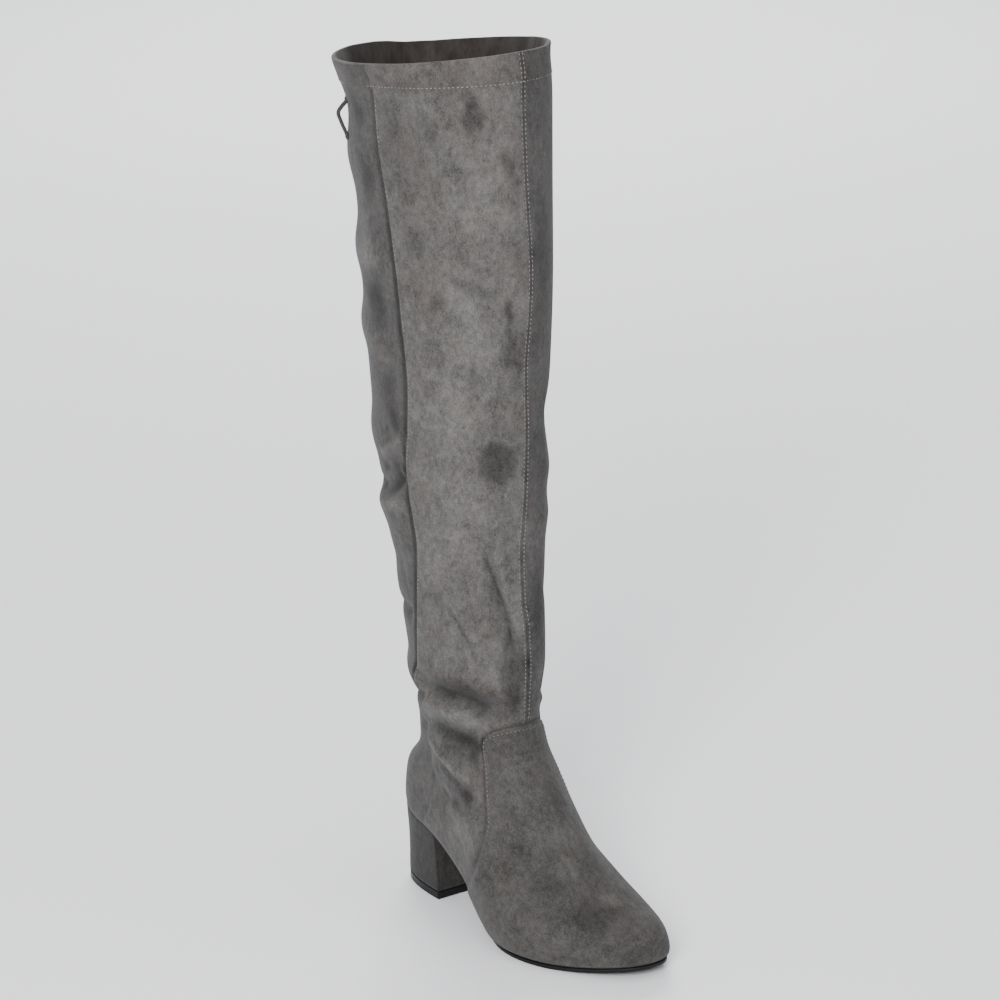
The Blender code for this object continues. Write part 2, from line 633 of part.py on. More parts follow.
for item in bpy.data.objects:
    item.data.shade_smooth()
    item.data.set_sharp_from_angle(angle=SMOOTH_ANGLE)

print("pull hinge at", [round(v, 6) for v in pull.location])
print("pull hinge axis", [round(float(v), 6) for v in -zip_frame[1]])
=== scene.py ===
import math

import bpy
import numpy as np
from mathutils import Matrix


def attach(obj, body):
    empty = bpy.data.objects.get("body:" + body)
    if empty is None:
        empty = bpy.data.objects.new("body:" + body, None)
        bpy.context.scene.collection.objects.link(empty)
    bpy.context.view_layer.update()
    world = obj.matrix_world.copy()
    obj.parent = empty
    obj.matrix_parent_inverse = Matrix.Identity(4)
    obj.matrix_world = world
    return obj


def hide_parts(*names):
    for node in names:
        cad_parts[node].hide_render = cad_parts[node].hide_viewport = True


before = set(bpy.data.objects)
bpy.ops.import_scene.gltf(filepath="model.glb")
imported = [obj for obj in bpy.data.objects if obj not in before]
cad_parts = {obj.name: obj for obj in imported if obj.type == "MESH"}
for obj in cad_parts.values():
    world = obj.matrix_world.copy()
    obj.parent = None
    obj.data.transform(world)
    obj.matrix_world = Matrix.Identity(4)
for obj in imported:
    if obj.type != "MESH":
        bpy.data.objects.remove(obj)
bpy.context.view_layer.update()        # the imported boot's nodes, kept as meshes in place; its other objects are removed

metre = 0.001            # every size below is in millimetres
fullTurn = 2 * math.pi
print("frame loaded:", len(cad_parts), "nodes")

# The boot's own sizes. Places are given as an angle round the leg (0 at the back, 90 at the outer side,
# 180 at the front, 270 at the inner side) and a height, or as a section number of the table below.
boot = {
    "centreX": 102.27,   # the model's zero, measured from the back of the heel
    "wall": 2.2,
    "gap": 0.3,
    "hemSection": 14.11,
    "hemStep": 0.4,
    "hemEdge": (-0.06, 0.10),
    "rimRound": 0.9,
    "soleTop": 3.3,
    "seatBack": 58.5,
    "seatFall": 0.11,
    "shankFrom": 40.0,
    "ballFrom": 150.0,
    "ballTo": 184.0,
    "toeSpring": 7.0,
    "toeSpringAt": 245.0,
    "toeSpringPower": 1.7,
    "inflareFrom": 0.45,
    "widthAt": (0.0, 0.39, 0.69, 1.0),
}

# One row for each section, from the sole's edge to the collar: the two ends of the loop, four half widths
# along it, the turn to the inner side, the arch, how far it takes the sole's line, and the toe's bluntness.
sectionColumns = ("backX", "backZ", "frontX", "frontZ", "heel", "waist", "ball", "toe",
                  "inflare", "arch", "follow", "blunt")
sections = {
    "feather": (-6.3, 58.0, 242.0, 8.0, 45.2, 29.5, 44.3, 39.0, 21.0, 5.0, 1.00, 2.35),
    "welt": (-7.8, 66.0, 243.5, 16.0, 46.0, 33.5, 47.8, 41.5, 21.0, 4.0, 0.90, 2.30),
    "toeBox": (-7.0, 79.5, 240.5, 30.0, 46.0, 35.5, 48.3, 41.0, 18.0, 3.0, 0.70, 2.20),
    "vampLow": (-4.0, 92.5, 218.0, 41.0, 44.5, 35.5, 44.0, 37.5, 15.0, 2.0, 0.50, 2.15),
    "vampMid": (2.0, 105.0, 191.0, 54.0, 41.0, 35.5, 40.5, 34.0, 9.5, 1.0, 0.30, 2.10),
    "instep": (9.0, 118.5, 167.0, 76.0, 37.5, 35.5, 38.5, 32.5, 6.0, 0.0, 0.15, 2.05),
    "instepTop": (13.5, 132.5, 148.0, 98.0, 35.0, 35.6, 37.5, 32.0, 3.0, 0.0, 0.05, 2.00),
    "throat": (13.5, 148.5, 131.0, 124.0, 33.5, 35.2, 36.5, 32.5, 0.0, 0.0, 0.00, 2.00),
    "ankle": (9.0, 166.0, 123.5, 156.0, 34.5, 36.4, 36.4, 35.0, 0.0, 0.0, 0.00, 2.00),
    "shin": (3.5, 204.0, 124.5, 204.5, 39.0, 41.0, 41.0, 40.0, 0.0, 0.0, 0.00, 2.00),
    "lowCalf": (-7.5, 270.0, 125.0, 271.5, 46.0, 47.0, 47.0, 46.0, 0.0, 0.0, 0.00, 2.00),
    "calf": (-20.0, 347.5, 127.5, 351.0, 50.0, 51.0, 51.0, 50.0, 0.0, 0.0, 0.00, 2.00),
    "knee": (-27.5, 436.0, 133.5, 442.0, 53.4, 54.4, 54.4, 53.4, 0.0, 0.0, 0.00, 2.00),
    "thigh": (-31.0, 513.5, 133.0, 523.0, 55.7, 56.7, 56.7, 55.7, 0.0, 0.0, 0.00, 2.00),
    "hem": (-34.5, 569.0, 129.5, 582.5, 60.2, 61.2, 61.2, 60.2, 0.0, 0.0, 0.00, 2.00),
    "collar": (-40.0, 589.0, 124.0, 607.0, 67.0, 68.0, 68.0, 67.0, 0.0, 0.0, 0.00, 2.00),
}
sectionTable = np.array(list(sections.values()))
lastSection = len(sectionTable) - 1
slopeStep = 0.01         # of a section or a radian, for slopes
halvings = 24            # steps of the searches on the form
sideTurns = 14           # rounds of the search for a point seen from the side


# smooth step: 3t^2 - 2t^3, zero before start and one after end
def ease(start, end, x):
    t = np.clip((x - start) / (end - start), 0.0, 1.0)
    return t * t * (3.0 - 2.0 * t)


# bell: e to the minus square of distance over width
def bell(distance, width):
    return np.exp(-(distance / width) ** 2)


# cubic from a to b with a slope at each end
def hermite(t, a, b, slopeA, slopeB):
    return ((1 + 2 * t) * (1 - t) ** 2 * a + t * (1 - t) ** 2 * slopeA
            + t * t * (3 - 2 * t) * b + t * t * (t - 1) * slopeB)


# smooth line through a table's points, in even steps of the table
def through(points, count):
    points = np.array(points, float)
    slope = np.gradient(points, axis=0)
    u = np.linspace(0, len(points) - 1, count)
    i = np.clip(u.astype(int), 0, len(points) - 2)
    return hermite((u - i)[:, None], points[i], points[i + 1], slope[i], slope[i + 1])


# a direction over its own length
def unit(v):
    return v / np.linalg.norm(v, axis=-1, keepdims=True)


# length walked along a line: the sum of its steps, at each of its points
def walkOf(line):
    return np.concatenate([[0.0], np.cumsum(np.linalg.norm(np.diff(line, axis=0), axis=1))])


# points of a line at walked lengths, straight between its own points
def atWalk(at, walk, line):
    return np.stack([np.interp(at, walk, column) for column in line.T], -1)


# the same line again, in even steps of its length
def evenly(line, count):
    walk = walkOf(line)
    return atWalk(np.linspace(0.0, walk[-1], count), walk, line)


# height of the upper's lower edge: sloping seat, shank, flat ball and a toe that rises by a power of x
def soleLine(x):
    seat = boot["seatBack"] - boot["seatFall"] * np.clip(x, 0.0, None)
    z = boot["soleTop"] + (seat - boot["soleTop"]) * (1.0 - ease(boot["shankFrom"], boot["ballFrom"], x))
    rise = np.clip((x - boot["ballTo"]) / (boot["toeSpringAt"] - boot["ballTo"]), 0.0, None)
    return z + boot["toeSpring"] * rise ** boot["toeSpringPower"]


# the table's columns at section number s, cubic between its rows
def sectionRow(s):
    slope = np.gradient(sectionTable, axis=0)
    i = np.clip(np.floor(s).astype(int), 0, lastSection - 1)
    row = hermite((s - i)[..., None], sectionTable[i], sectionTable[i + 1], slope[i], slope[i + 1])
    return dict(zip(sectionColumns, np.moveaxis(row, -1, 0)))


# half width at the share q of a loop, three cubics through heel, waist, ball and toe
def halfWidth(q, heel, waist, ball, toe):
    flat = np.zeros_like(q)
    atHeel, atWaist, atBall, atToe = boot["widthAt"]
    waistSlope = (ball - heel) / (atBall - atHeel)
    ballSlope = (toe - waist) / (atToe - atWaist)
    width = flat
    for start, end, a, b, slopeA, slopeB in ((atHeel, atWaist, heel, waist, flat, waistSlope),
                                             (atWaist, atBall, waist, ball, waistSlope, ballSlope),
                                             (atBall, atToe, ball, toe, ballSlope, flat)):
        t = np.clip((q - start) / (end - start), 0.0, 1.0)
        value = hermite(t, a, b, slopeA * (end - start), slopeB * (end - start))
        width = np.where((q >= start) & (q <= end), value, width)
    return width


# smooth form of the upper: x and z run from the loop's back to its front by (1 - cos angle) / 2,
# y is the half width times a sine that is blunter towards the toe
def lastPoint(s, angle):
    s, angle = np.broadcast_arrays(np.asarray(s, float), np.asarray(angle, float))
    row = sectionRow(s)
    side = np.sin(angle)
    q = (1 - np.cos(angle)) / 2
    x = row["backX"] + (row["frontX"] - row["backX"]) * q
    z = row["backZ"] + (row["frontZ"] - row["backZ"]) * q
    chord = sectionTable[0, 1] + (sectionTable[0, 3] - sectionTable[0, 1]) * q
    z = z + row["follow"] * (soleLine(x) - chord)
    waist = row["waist"] - (side < 0) * row["arch"]
    width = halfWidth(q, row["heel"], waist, row["ball"], row["toe"])
    ahead = np.clip(-np.cos(angle), 0.0, 1.0)
    frontBow = np.clip(1 - ahead ** row["blunt"], 0.0, 1.0) ** (1 / row["blunt"])
    bow = np.where(ahead > 0, frontBow, np.abs(side))
    turn = row["inflare"] * np.clip((q - boot["inflareFrom"]) / (1 - boot["inflareFrom"]), 0.0, None) ** 2
    return np.stack([x, turn - np.sign(side) * bow * width, z], -1)


# outward direction: cross product of a small step round and a small step up
def lastNormal(s, angle):
    s, angle = np.broadcast_arrays(np.asarray(s, float), np.asarray(angle, float))
    above = np.clip(s + slopeStep, 0, lastSection)
    below = np.clip(s - slopeStep, 0, lastSection)
    return unit(np.cross(lastPoint(s, angle + slopeStep) - lastPoint(s, angle - slopeStep),
                         lastPoint(above, angle) - lastPoint(below, angle)))


# millimetres round the loop for one radian
def roundScale(s, angle):
    step = lastPoint(s, angle + slopeStep) - lastPoint(s, angle - slopeStep)
    return np.linalg.norm(step, axis=-1) / (2 * slopeStep)


# section number at an angle and a height, by halving
def sectionAt(angle, z):
    low = np.zeros(np.shape(angle))
    high = np.full(np.shape(angle), float(lastSection))
    for _ in range(halvings):
        middle = (low + high) / 2
        under = lastPoint(middle, angle)[..., 2] < z
        low, high = np.where(under, middle, low), np.where(under, high, middle)
    return (low + high) / 2


# section number and angle of a side-view point, on the outer or the inner side: the angle whose cosine
# gives the point's share of the loop, found again at each new section
def placeOn(x, z, inner):
    angle = np.full(np.shape(x), math.pi / 2)
    for _ in range(sideTurns):
        s = sectionAt(fullTurn - angle if inner else angle, z)
        row = sectionRow(s)
        q = np.clip((x - row["backX"]) / (row["frontX"] - row["backX"]), 0.0, 1.0)
        angle = np.arccos(1 - 2 * q)
    return s, (fullTurn - angle if inner else angle)


# Seams as (section, angle): the outer one was followed in the photo, the inner one mirrors it above the zip.
seams = {
    "outer": ((0.0, 52), (2.3, 60.3), (3.9, 66.8), (5.5, 73), (6.2, 74), (7.0, 71), (7.86, 69), (8.48, 75.8),
              (8.98, 82.8), (9.44, 90.5), (9.92, 97.5), (10.2, 97.5), (10.5, 95.5), (10.75, 96), (11.0, 99.2),
              (11.42, 101.5), (11.86, 99.2), (12.2, 97.6), (12.49, 95.6), (12.84, 93.5), (13.07, 92.2),
              (13.32, 90.9), (13.6, 91), (14.03, 93.2), (15.0, 97)),
    "innerTop": ((10.05, 271.5), (10.5, 266), (11.42, 259), (12.2, 262.4), (12.84, 266.5), (13.32, 269),
                 (14.03, 267), (15.0, 263)),
    "front": ((0.0, 180), (7.2, 183), (7.81, 184), (8.1, 184.6), (8.67, 184), (9.14, 181.3), (9.55, 180),
              (10.0, 179), (10.25, 180.8), (10.57, 182.8), (11.03, 183.4),
              (11.3, 181.9), (11.6, 180.6), (11.89, 182.6),
              (12.2, 183.9), (12.5, 183.3), (12.73, 182.1), (12.98, 181.4), (13.24, 181.1), (13.52, 181.1),
              (13.84, 181.8), (14.3, 183.2), (15.0, 184)),
    "grooveDepth": 0.55,
    "grooveWidth": 1.0,
    "lipHeight": 0.28,
    "lipAt": 3.4,
    "lipWidth": 2.2,
    "panelStep": 0.45,   # the front panel lies over the back one
    "panelRise": (-0.6, 0.9),
    "panelReach": 9.0,
    "panelDip": (0.25, 2.0, 3.0),    # depth, place and width of the hollow behind that step
    "hemHides": 0.8,     # how much of the side seam the hem covers
    "frontFrom": (7.2, 7.6),
    "outerFrom": (7.4, 8.2),
    "outerLow": 0.35,    # the outer seam's strength on the foot
    "outerShare": 0.7,
}
zipper = {
    # middle line in side view, from the top stop to the sole
    "line": ((57.0, 275.0), (57.5, 262.0), (62.0, 247.0), (68.0, 233.0), (69.0, 220.0), (65.0, 204.0),
             (57.5, 188.0), (54.0, 172.0), (56.5, 156.0), (65.0, 143.5), (70.0, 131.0), (67.5, 116.0),
             (62.5, 98.0), (60.0, 80.0), (61.0, 63.0), (62.0, 55.0)),
    "linePoints": 200,
    "steps": 260,
    "tapeHalfWidth": 4.4,
    "tapeColumns": 45,
    "tapeRows": 420,
    "tapeEnd": 0.005,
    "tapeBase": 0.3,
    "tapeTop": 1.1,
    "ribHeight": 0.08,
    "ribPitch": 0.9,
    "ribSunk": 0.05,
    "edgeDrop": 0.4,
    "edgeWidth": 0.35,
    "lipAt": 5.6,
    "lipWidth": 1.1,
    "lipHeight": 0.8,
    "recess": 0.25,
    "toothPitch": 1.25,
    "toothLength": 2.5,
    "toothWidth": 0.85,
    "toothShift": 0.75,
    "toothStart": (0.25, 0.75),      # first tooth of each row, in pitches
    "toothOut": 0.35,
    "toothLift": 0.15,
    "toothStep": 0.5,
    "lowEnd": 0.42,
    "grooveAt": 2.75,
    "grooveWidth": 0.5,
    "grooveDepth": 0.45,
    "stitchAt": 6.7,
    "stitchPitch": 2.0,
    "stitchLength": 1.4,
    "stitchOver": 0.02,
    "stitchPoints": 500,
    "topBlend": (-0.05, 0.25),       # sections over which the seam above takes over
    "lipEnd": (-0.02, 0.12),
    "shadeEnd": 0.3,
}
zipLine = evenly(through(zipper["line"], zipper["linePoints"]), zipper["steps"])
zipS, zipAngle = placeOn(zipLine[:, 0], zipLine[:, 1], True)
zipOrder = np.argsort(zipS)
zipTop = zipS[0]
seamPoints = 240


# the zip's angle at section s
def zipTurn(s):
    return np.interp(s, zipS[zipOrder], zipAngle[zipOrder])


# a seam's angle in radians at section s
def seamAngle(table, s):
    line = through(table, seamPoints)
    return np.radians(np.interp(s, line[:, 0], line[:, 1]))


# the inner side's line: the zip up to its top, and the seam above it
def innerAngle(s):
    start, end = zipper["topBlend"]
    above = ease(zipTop + start, zipTop + end, s)
    return zipTurn(s) * (1 - above) + seamAngle(seams["innerTop"], s) * above


# Soft folds: how far out or in, half width, and the line as (angle, height).
folds = {
    # the outline at the back of the outer side, from the rim down
    "rimFlare": (3.0, 14.0, ((18, 576), (48, 579), (70, 582), (92, 587))),
    "rimInward": (-2.2, 15.0, ((206, 602), (228, 600), (250, 597), (272, 593))),
    "topSwell": (4.0, 20.0, ((14, 530), (44, 527), (68, 529), (94, 536))),
    "thighSwell": (3.2, 14.0, ((16, 472), (44, 464), (66, 461), (92, 467))),
    "kneeWave": (2.9, 12.0, ((20, 418), (46, 411), (64, 409), (88, 415))),
    "kneeUnder": (2.7, 13.0, ((20, 345), (46, 337), (66, 334), (86, 338))),
    "calfPinch": (-4.6, 5.5, ((36, 306), (56, 299.5), (76, 302), (88, 312), (95, 319))),
    "calfBulge": (2.8, 6.5, ((30, 292), (50, 287.5), (66, 290), (80, 295), (94, 303))),
    "calfRidge": (1.7, 4.5, ((68, 324), (83, 333), (92, 341), (100, 350))),
    "calfHollow": (-1.8, 5.0, ((70, 318), (82, 322), (94, 334))),
    "calfSwell": (1.7, 8.0, ((30, 284), (52, 280), (72, 280), (92, 284))),
    "lowHollow": (-1.7, 12.0, ((20, 252), (46, 249), (68, 248), (86, 250))),
    "lowPinch": (-4.0, 4.8, ((28, 219), (50, 216), (68, 215), (84, 219))),
    "ankleTop": (3.0, 9.0, ((24, 173), (48, 168), (66, 167), (80, 172))),
    "heelNeck": (-4.6, 15.0, ((-30, 112), (4, 108), (34, 106), (56, 111), (74, 119))),
    "counter": (-1.8, 15.0, ((14, 84), (38, 80), (58, 81), (76, 86), (88, 92))),
    # the front of the shin
    "shinFold": (-2.7, 2.8, ((147, 276), (150, 266), (157.3, 250), (162, 231), (168.8, 214.6),
                             (161.8, 199), (157, 178))),
    "shinFoldEdge": (1.0, 3.6, ((152, 272), (161.5, 250), (167, 230), (174, 212))),
    "shinFoldLeft": (-1.0, 4.5, ((150, 268), (146, 250), (141, 230))),
    "shinSwell": (0.9, 7.0, ((152, 236), (150, 214), (149, 196))),
    "shinSmall": (-1.3, 3.2, ((123, 226), (126.5, 216), (132, 204), (138, 189))),
    "shinSmallEdge": (0.7, 4.0, ((129, 222), (134, 210), (140, 197))),
    "shinLow": (-0.9, 4.0, ((100, 197), (112, 190), (122, 192))),
    "shinFaint": (-0.6, 5.0, ((104, 244), (112, 236), (116, 224))),
    # ankle and quarter
    "ankleTrough": (-4.4, 6.0, ((72, 160), (84, 165), (97.5, 165.7), (110.8, 164.8), (127.7, 163.8),
                                (138.8, 160.5), (152, 158))),
    "ankleRidge": (3.0, 4.8, ((62, 144), (72, 149), (82, 152), (96, 152.7), (109.8, 152), (126.8, 149.7),
                              (139.5, 149), (150, 148))),
    "ankleCrease": (-0.5, 2.4, ((94, 145), (108, 145), (122, 144), (138, 142))),
    "quarterHollow": (-2.8, 5.0, ((44, 126), (54, 128), (62, 131), (72, 135.5), (87, 139), (102, 139),
                                  (116, 137), (128.8, 135.7), (138, 132))),
    "quarterDip": (-1.4, 6.0, ((94, 130), (106, 128.5), (118, 128.5), (128, 129))),
    "quarterRidge": (2.4, 3.2, ((68, 127), (75, 124), (84.2, 119.7), (96, 115.5), (104, 112), (111.5, 109.8),
                                (118, 106))),
    "quarterSmall": (-1.0, 2.8, ((82, 112), (94, 108), (106, 101), (116, 95))),
    "quarterLow": (-1.5, 5.0, ((64, 100), (77, 90), (90, 88), (104, 90))),
    "quarterFoot": (0.9, 6.0, ((58, 82), (72, 68), (86, 62))),
    "ankleBack": (-4.4, 4.6, ((-40, 154), (-6, 158), (30, 155), (54, 149.5), (66, 150), (76, 156),
                              (86, 162))),
    "ankleBackRidge": (1.2, 5.0, ((-42, 142), (-8, 146), (24, 143), (50, 138))),
    # the back and the inner side, hidden in the photo, in the same manner
    "backCalf": (-1.8, 8.0, ((-44, 246), (-18, 241), (10, 247))),
    "backKnee": (1.4, 11.0, ((-40, 306), (-10, 300), (22, 304))),
    "backPinch": (-1.8, 6.0, ((-40, 318), (-12, 313), (26, 316))),
    "innerAnkle": (-2.4, 7.5, ((208, 179), (220, 175), (232, 171), (248, 168), (266, 165), (280, 164))),
    "innerRidge": (2.4, 5.0, ((220, 154), (232, 156), (248, 155), (264, 151))),
    "innerQuarter": (-1.8, 5.5, ((238, 134), (254, 137), (268, 133))),
    "innerPoint": (-1.1, 3.6, ((238, 72), (246, 86), (252, 92), (258, 80), (262, 70))),
    "innerSwell": (3.6, 20.0, ((184, 238), (198, 208), (210, 182), (226, 172))),
    "innerShin": (-1.2, 4.5, ((218, 248), (226, 226), (234, 206), (230, 190))),
    "innerCalf": (-1.5, 8.0, ((288, 250), (304, 243), (322, 248))),
    "innerCalfTop": (1.6, 9.0, ((284, 288), (304, 281), (326, 286))),
    "innerBend": (-2.0, 8.0, ((282, 312), (300, 306), (322, 311))),
    "kneeDent": (-2.6, 15.0, ((204, 368), (222, 358), (242, 352))),
    "kneeSwell": (1.7, 12.0, ((204, 326), (222, 321), (242, 318))),
    "lowSwell": (1.6, 12.0, ((200, 292), (214, 288), (230, 290))),
    # low forms of the front panel
    "frontSoft": (0.8, 22.0, ((140, 470), (150, 420), (150, 370))),
    "hemDip": (-0.9, 8.0, ((98, 560), (114, 556), (130, 560))),
    "hemSwell": (0.8, 8.0, ((140, 572), (154, 566), (168, 570))),
    "thighDrag": (-0.6, 6.0, ((110, 545), (126, 520), (138, 500))),
    "thighDragTwo": (0.6, 7.0, ((118, 548), (134, 522), (146, 502))),
}
foldSteps = 14
foldReach = 3.0          # how many half widths a fold is worked out over
foldEnd = 0.22           # share of its length over which it fades at each end
farAway = 1e9


# distance to a broken line and the share of its length at the nearest point
def alongLine(p, line):
    nearest = np.full(len(p), farAway)
    share = np.zeros(len(p))
    for i in range(len(line) - 1):
        run = line[i + 1] - line[i]
        t = np.clip((p - line[i]) @ run / (run @ run), 0.0, 1.0)
        distance = np.linalg.norm(p - line[i] - t[:, None] * run, axis=1)
        closer = distance < nearest
        nearest = np.where(closer, distance, nearest)
        share = np.where(closer, (i + t) / (len(line) - 1), share)
    return nearest, share


# given lines laid on the smooth form
def linesOnForm(table):
    lines = []
    for depth, width, points in table.values():
        path = through(points, foldSteps)
        angle = np.radians(path[:, 0])
        lines.append((depth, width, lastPoint(sectionAt(angle, path[:, 1]), angle)))
    return lines


foldPaths = linesOnForm(folds)


# all lines together: each is depth times a bell of the distance, fading out at both ends
def foldLift(p, paths=foldPaths):
    flat = p.reshape(-1, 3)
    lift = np.zeros(len(flat))
    for depth, width, line in paths:
        reach = foldReach * width
        near = ((flat > line.min(0) - reach) & (flat < line.max(0) + reach)).all(1).nonzero()[0]
        if len(near):
            distance, share = alongLine(flat[near], line)
            fade = ease(0.0, foldEnd, share) * (1 - ease(1 - foldEnd, 1.0, share))
            lift[near] += depth * bell(distance, width) * fade
    return lift.reshape(p.shape[:-1])


# a seam across the distance d: a narrow groove between two low lips
def seamLift(d):
    groove = -seams["grooveDepth"] * bell(d, seams["grooveWidth"])
    return groove + seams["lipHeight"] * bell(np.abs(d) - seams["lipAt"], seams["lipWidth"])


# zero below the hem, one on it
def inHem(s):
    low, high = boot["hemEdge"]
    return ease(boot["hemSection"] + low, boot["hemSection"] + high, s)


# everything that the upper's face has over the smooth form, in millimetres outwards: the folds, the
# hem's step, a groove with two lips at each seam, the front panel's step, and the zip's sunken bed
# between two lips
def relief(s, angle):
    s, angle = np.broadcast_arrays(np.asarray(s, float), np.asarray(angle, float))
    scale = roundScale(s, angle)
    turn = np.mod(angle, fullTurn)
    lift = foldLift(lastPoint(s, angle)) + boot["hemStep"] * inHem(s)
    front = (turn - seamAngle(seams["front"], s)) * scale
    lift = lift + seamLift(front) * ease(*seams["frontFrom"], s)
    outer = (turn - seamAngle(seams["outer"], s)) * scale
    low = seams["outerLow"]
    strength = (low + (1 - low) * ease(*seams["outerFrom"], s)) * (1 - seams["hemHides"] * inHem(s))
    dip, dipAt, dipWidth = seams["panelDip"]
    step = ease(*seams["panelRise"], outer) * bell(np.clip(outer, 0, None), seams["panelReach"])
    step = seams["panelStep"] * (step - dip * bell(outer + dipAt, dipWidth))
    lift = lift + strength * (seamLift(outer) * seams["outerShare"] + step)
    inner = (turn - innerAngle(s)) * scale
    start, end = zipper["lipEnd"]
    onZip = 1 - ease(zipTop + start, zipTop + end, s)
    zipLip = zipper["lipHeight"] * bell(np.abs(inner) - zipper["lipAt"], zipper["lipWidth"])
    zipSunk = -zipper["recess"] * (1 - ease(zipper["tapeHalfWidth"], zipper["lipAt"], np.abs(inner)))
    return lift + onZip * (zipLip + zipSunk) + (1 - onZip) * seamLift(inner)


# a point of the upper's face, raised by a height
def facePoint(s, angle, height=0.0):
    out = lastNormal(s, angle)
    return lastPoint(s, angle) + out * (relief(s, angle) + height)[..., None]


# Meshes: arrays in millimetres become objects in metres at the origin.
def toRow(points):
    return (points - (boot["centreX"], 0.0, 0.0)) * metre


# four-sided faces over a grid of rows and columns, wrapped round where asked
def gridFaces(rows, columns, wrapRows=False, wrapColumns=True):
    i = np.arange(rows if wrapRows else rows - 1)[:, None]
    j = np.arange(columns if wrapColumns else columns - 1)[None]
    below, above = i * columns, (i + 1) % rows * columns
    ahead = (j + 1) % columns
    corners = np.stack(np.broadcast_arrays(below + j, below + ahead, above + ahead, above + j), -1)
    return corners.reshape(-1, 4)


# triangles from a ring to one point
def fanFaces(ringStart, columns, pole, flip=False):
    j = np.arange(columns)
    ring, ahead = ringStart + j, ringStart + (j + 1) % columns
    pole = np.full(columns, pole)
    return np.stack([ahead, ring, pole] if flip else [ring, ahead, pole], -1)


# faces of a closed shape, turned over if the volume they enclose, summed over triangles, is negative
def turnedOut(points, quads, triangles):
    fans = np.concatenate([quads[:, :3], quads[:, [0, 2, 3]], triangles])
    a, b, c = (points - points.mean(0))[fans.T]
    if (np.cross(a, b) * c).sum() < 0:
        return quads[:, ::-1], triangles[:, ::-1]
    return quads, triangles


noTriangles = np.zeros((0, 3), int)


# one object from points, four-sided faces and triangles, smooth but for edges sharper than crisp degrees
def makePiece(name, points, quads, finish, triangles=noTriangles, crisp=None, closed=True):
    mesh = bpy.data.meshes.new(name)
    mesh.vertices.add(len(points))
    mesh.vertices.foreach_set("co", toRow(points).astype(np.float32).ravel())
    if closed:
        quads, triangles = turnedOut(points, quads, triangles)
    corners = np.concatenate([quads.ravel(), triangles.ravel()]).astype(np.int32)
    starts = np.concatenate([np.arange(len(quads)) * 4, len(quads) * 4 + np.arange(len(triangles)) * 3])
    mesh.loops.add(len(corners))
    mesh.loops.foreach_set("vertex_index", corners)
    mesh.polygons.add(len(starts))
    mesh.polygons.foreach_set("loop_start", starts.astype(np.int32))
    mesh.update(calc_edges=True)
    mesh.validate()
    mesh.shade_smooth()
    if crisp:
        mesh.set_sharp_from_angle(angle=math.radians(crisp))
    mesh.materials.append(finish)
    piece = bpy.data.objects.new(name, mesh)
    bpy.context.scene.collection.objects.link(piece)
    print("piece", name, len(quads) * 2 + len(triangles), "triangles")
    return piece


# several closed shapes, each as (points, quads, triangles), in one mesh
def joinParts(name, parts, finish, crisp=None):
    start, joined = 0, ([], [], [])
    for points, quads, triangles in parts:
        for kept, values in zip(joined, (points, quads + start, triangles + start)):
            kept.append(values)
        start += len(points)
    points, quads, triangles = [np.concatenate(kept) for kept in joined]
    return makePiece(name, points, quads, finish, triangles, crisp)


# a closed stack of rings, with a point at each end, the mean of its last ring
def stackPart(rings):
    rings = np.asarray(rings)
    rows, columns = rings.shape[:2]
    total = rows * columns
    points = np.concatenate([rings.reshape(-1, 3), rings[:1].mean(1), rings[-1:].mean(1)])
    caps = [fanFaces(0, columns, total, flip=True), fanFaces(total - columns, columns, total + 1)]
    return points, *turnedOut(points, gridFaces(rows, columns), np.concatenate(caps))


# a piece from one stack
def stackPiece(name, rings, finish, crisp=None):
    return joinParts(name, [stackPart(rings)], finish, crisp)


# one number for each point, for the materials
def addValues(piece, name, values):
    layer = piece.data.attributes.new(name, "FLOAT", "POINT")
    layer.data.foreach_set("value", np.asarray(values, np.float32).ravel())


# the body that a piece rides on, and the nodes whose place it takes, which are hidden; the slot is not used
def settle(piece, slot, *nodes, body="boot"):
    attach(piece, body)
    if nodes:
        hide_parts(*nodes)


# Shader maths: a Wire is one socket, and operators on it add Math nodes.
class Wire:
    def __init__(self, finish, socket):
        self.finish = finish
        self.socket = socket

    def joined(self, operation, first, second=0.0, clamp=False):
        settings = {"operation": operation, "use_clamp": clamp}
        return self.finish.node("ShaderNodeMath", settings, {0: first, 1: second})

    def __add__(self, other):
        return self.joined("ADD", self, other)

    def __sub__(self, other):
        return self.joined("SUBTRACT", self, other)

    def __mul__(self, other):
        return self.joined("MULTIPLY", self, other)

    __radd__ = __add__
    __rmul__ = __mul__

    def clamped(self):
        return self.joined("ADD", self, 0.0, clamp=True)


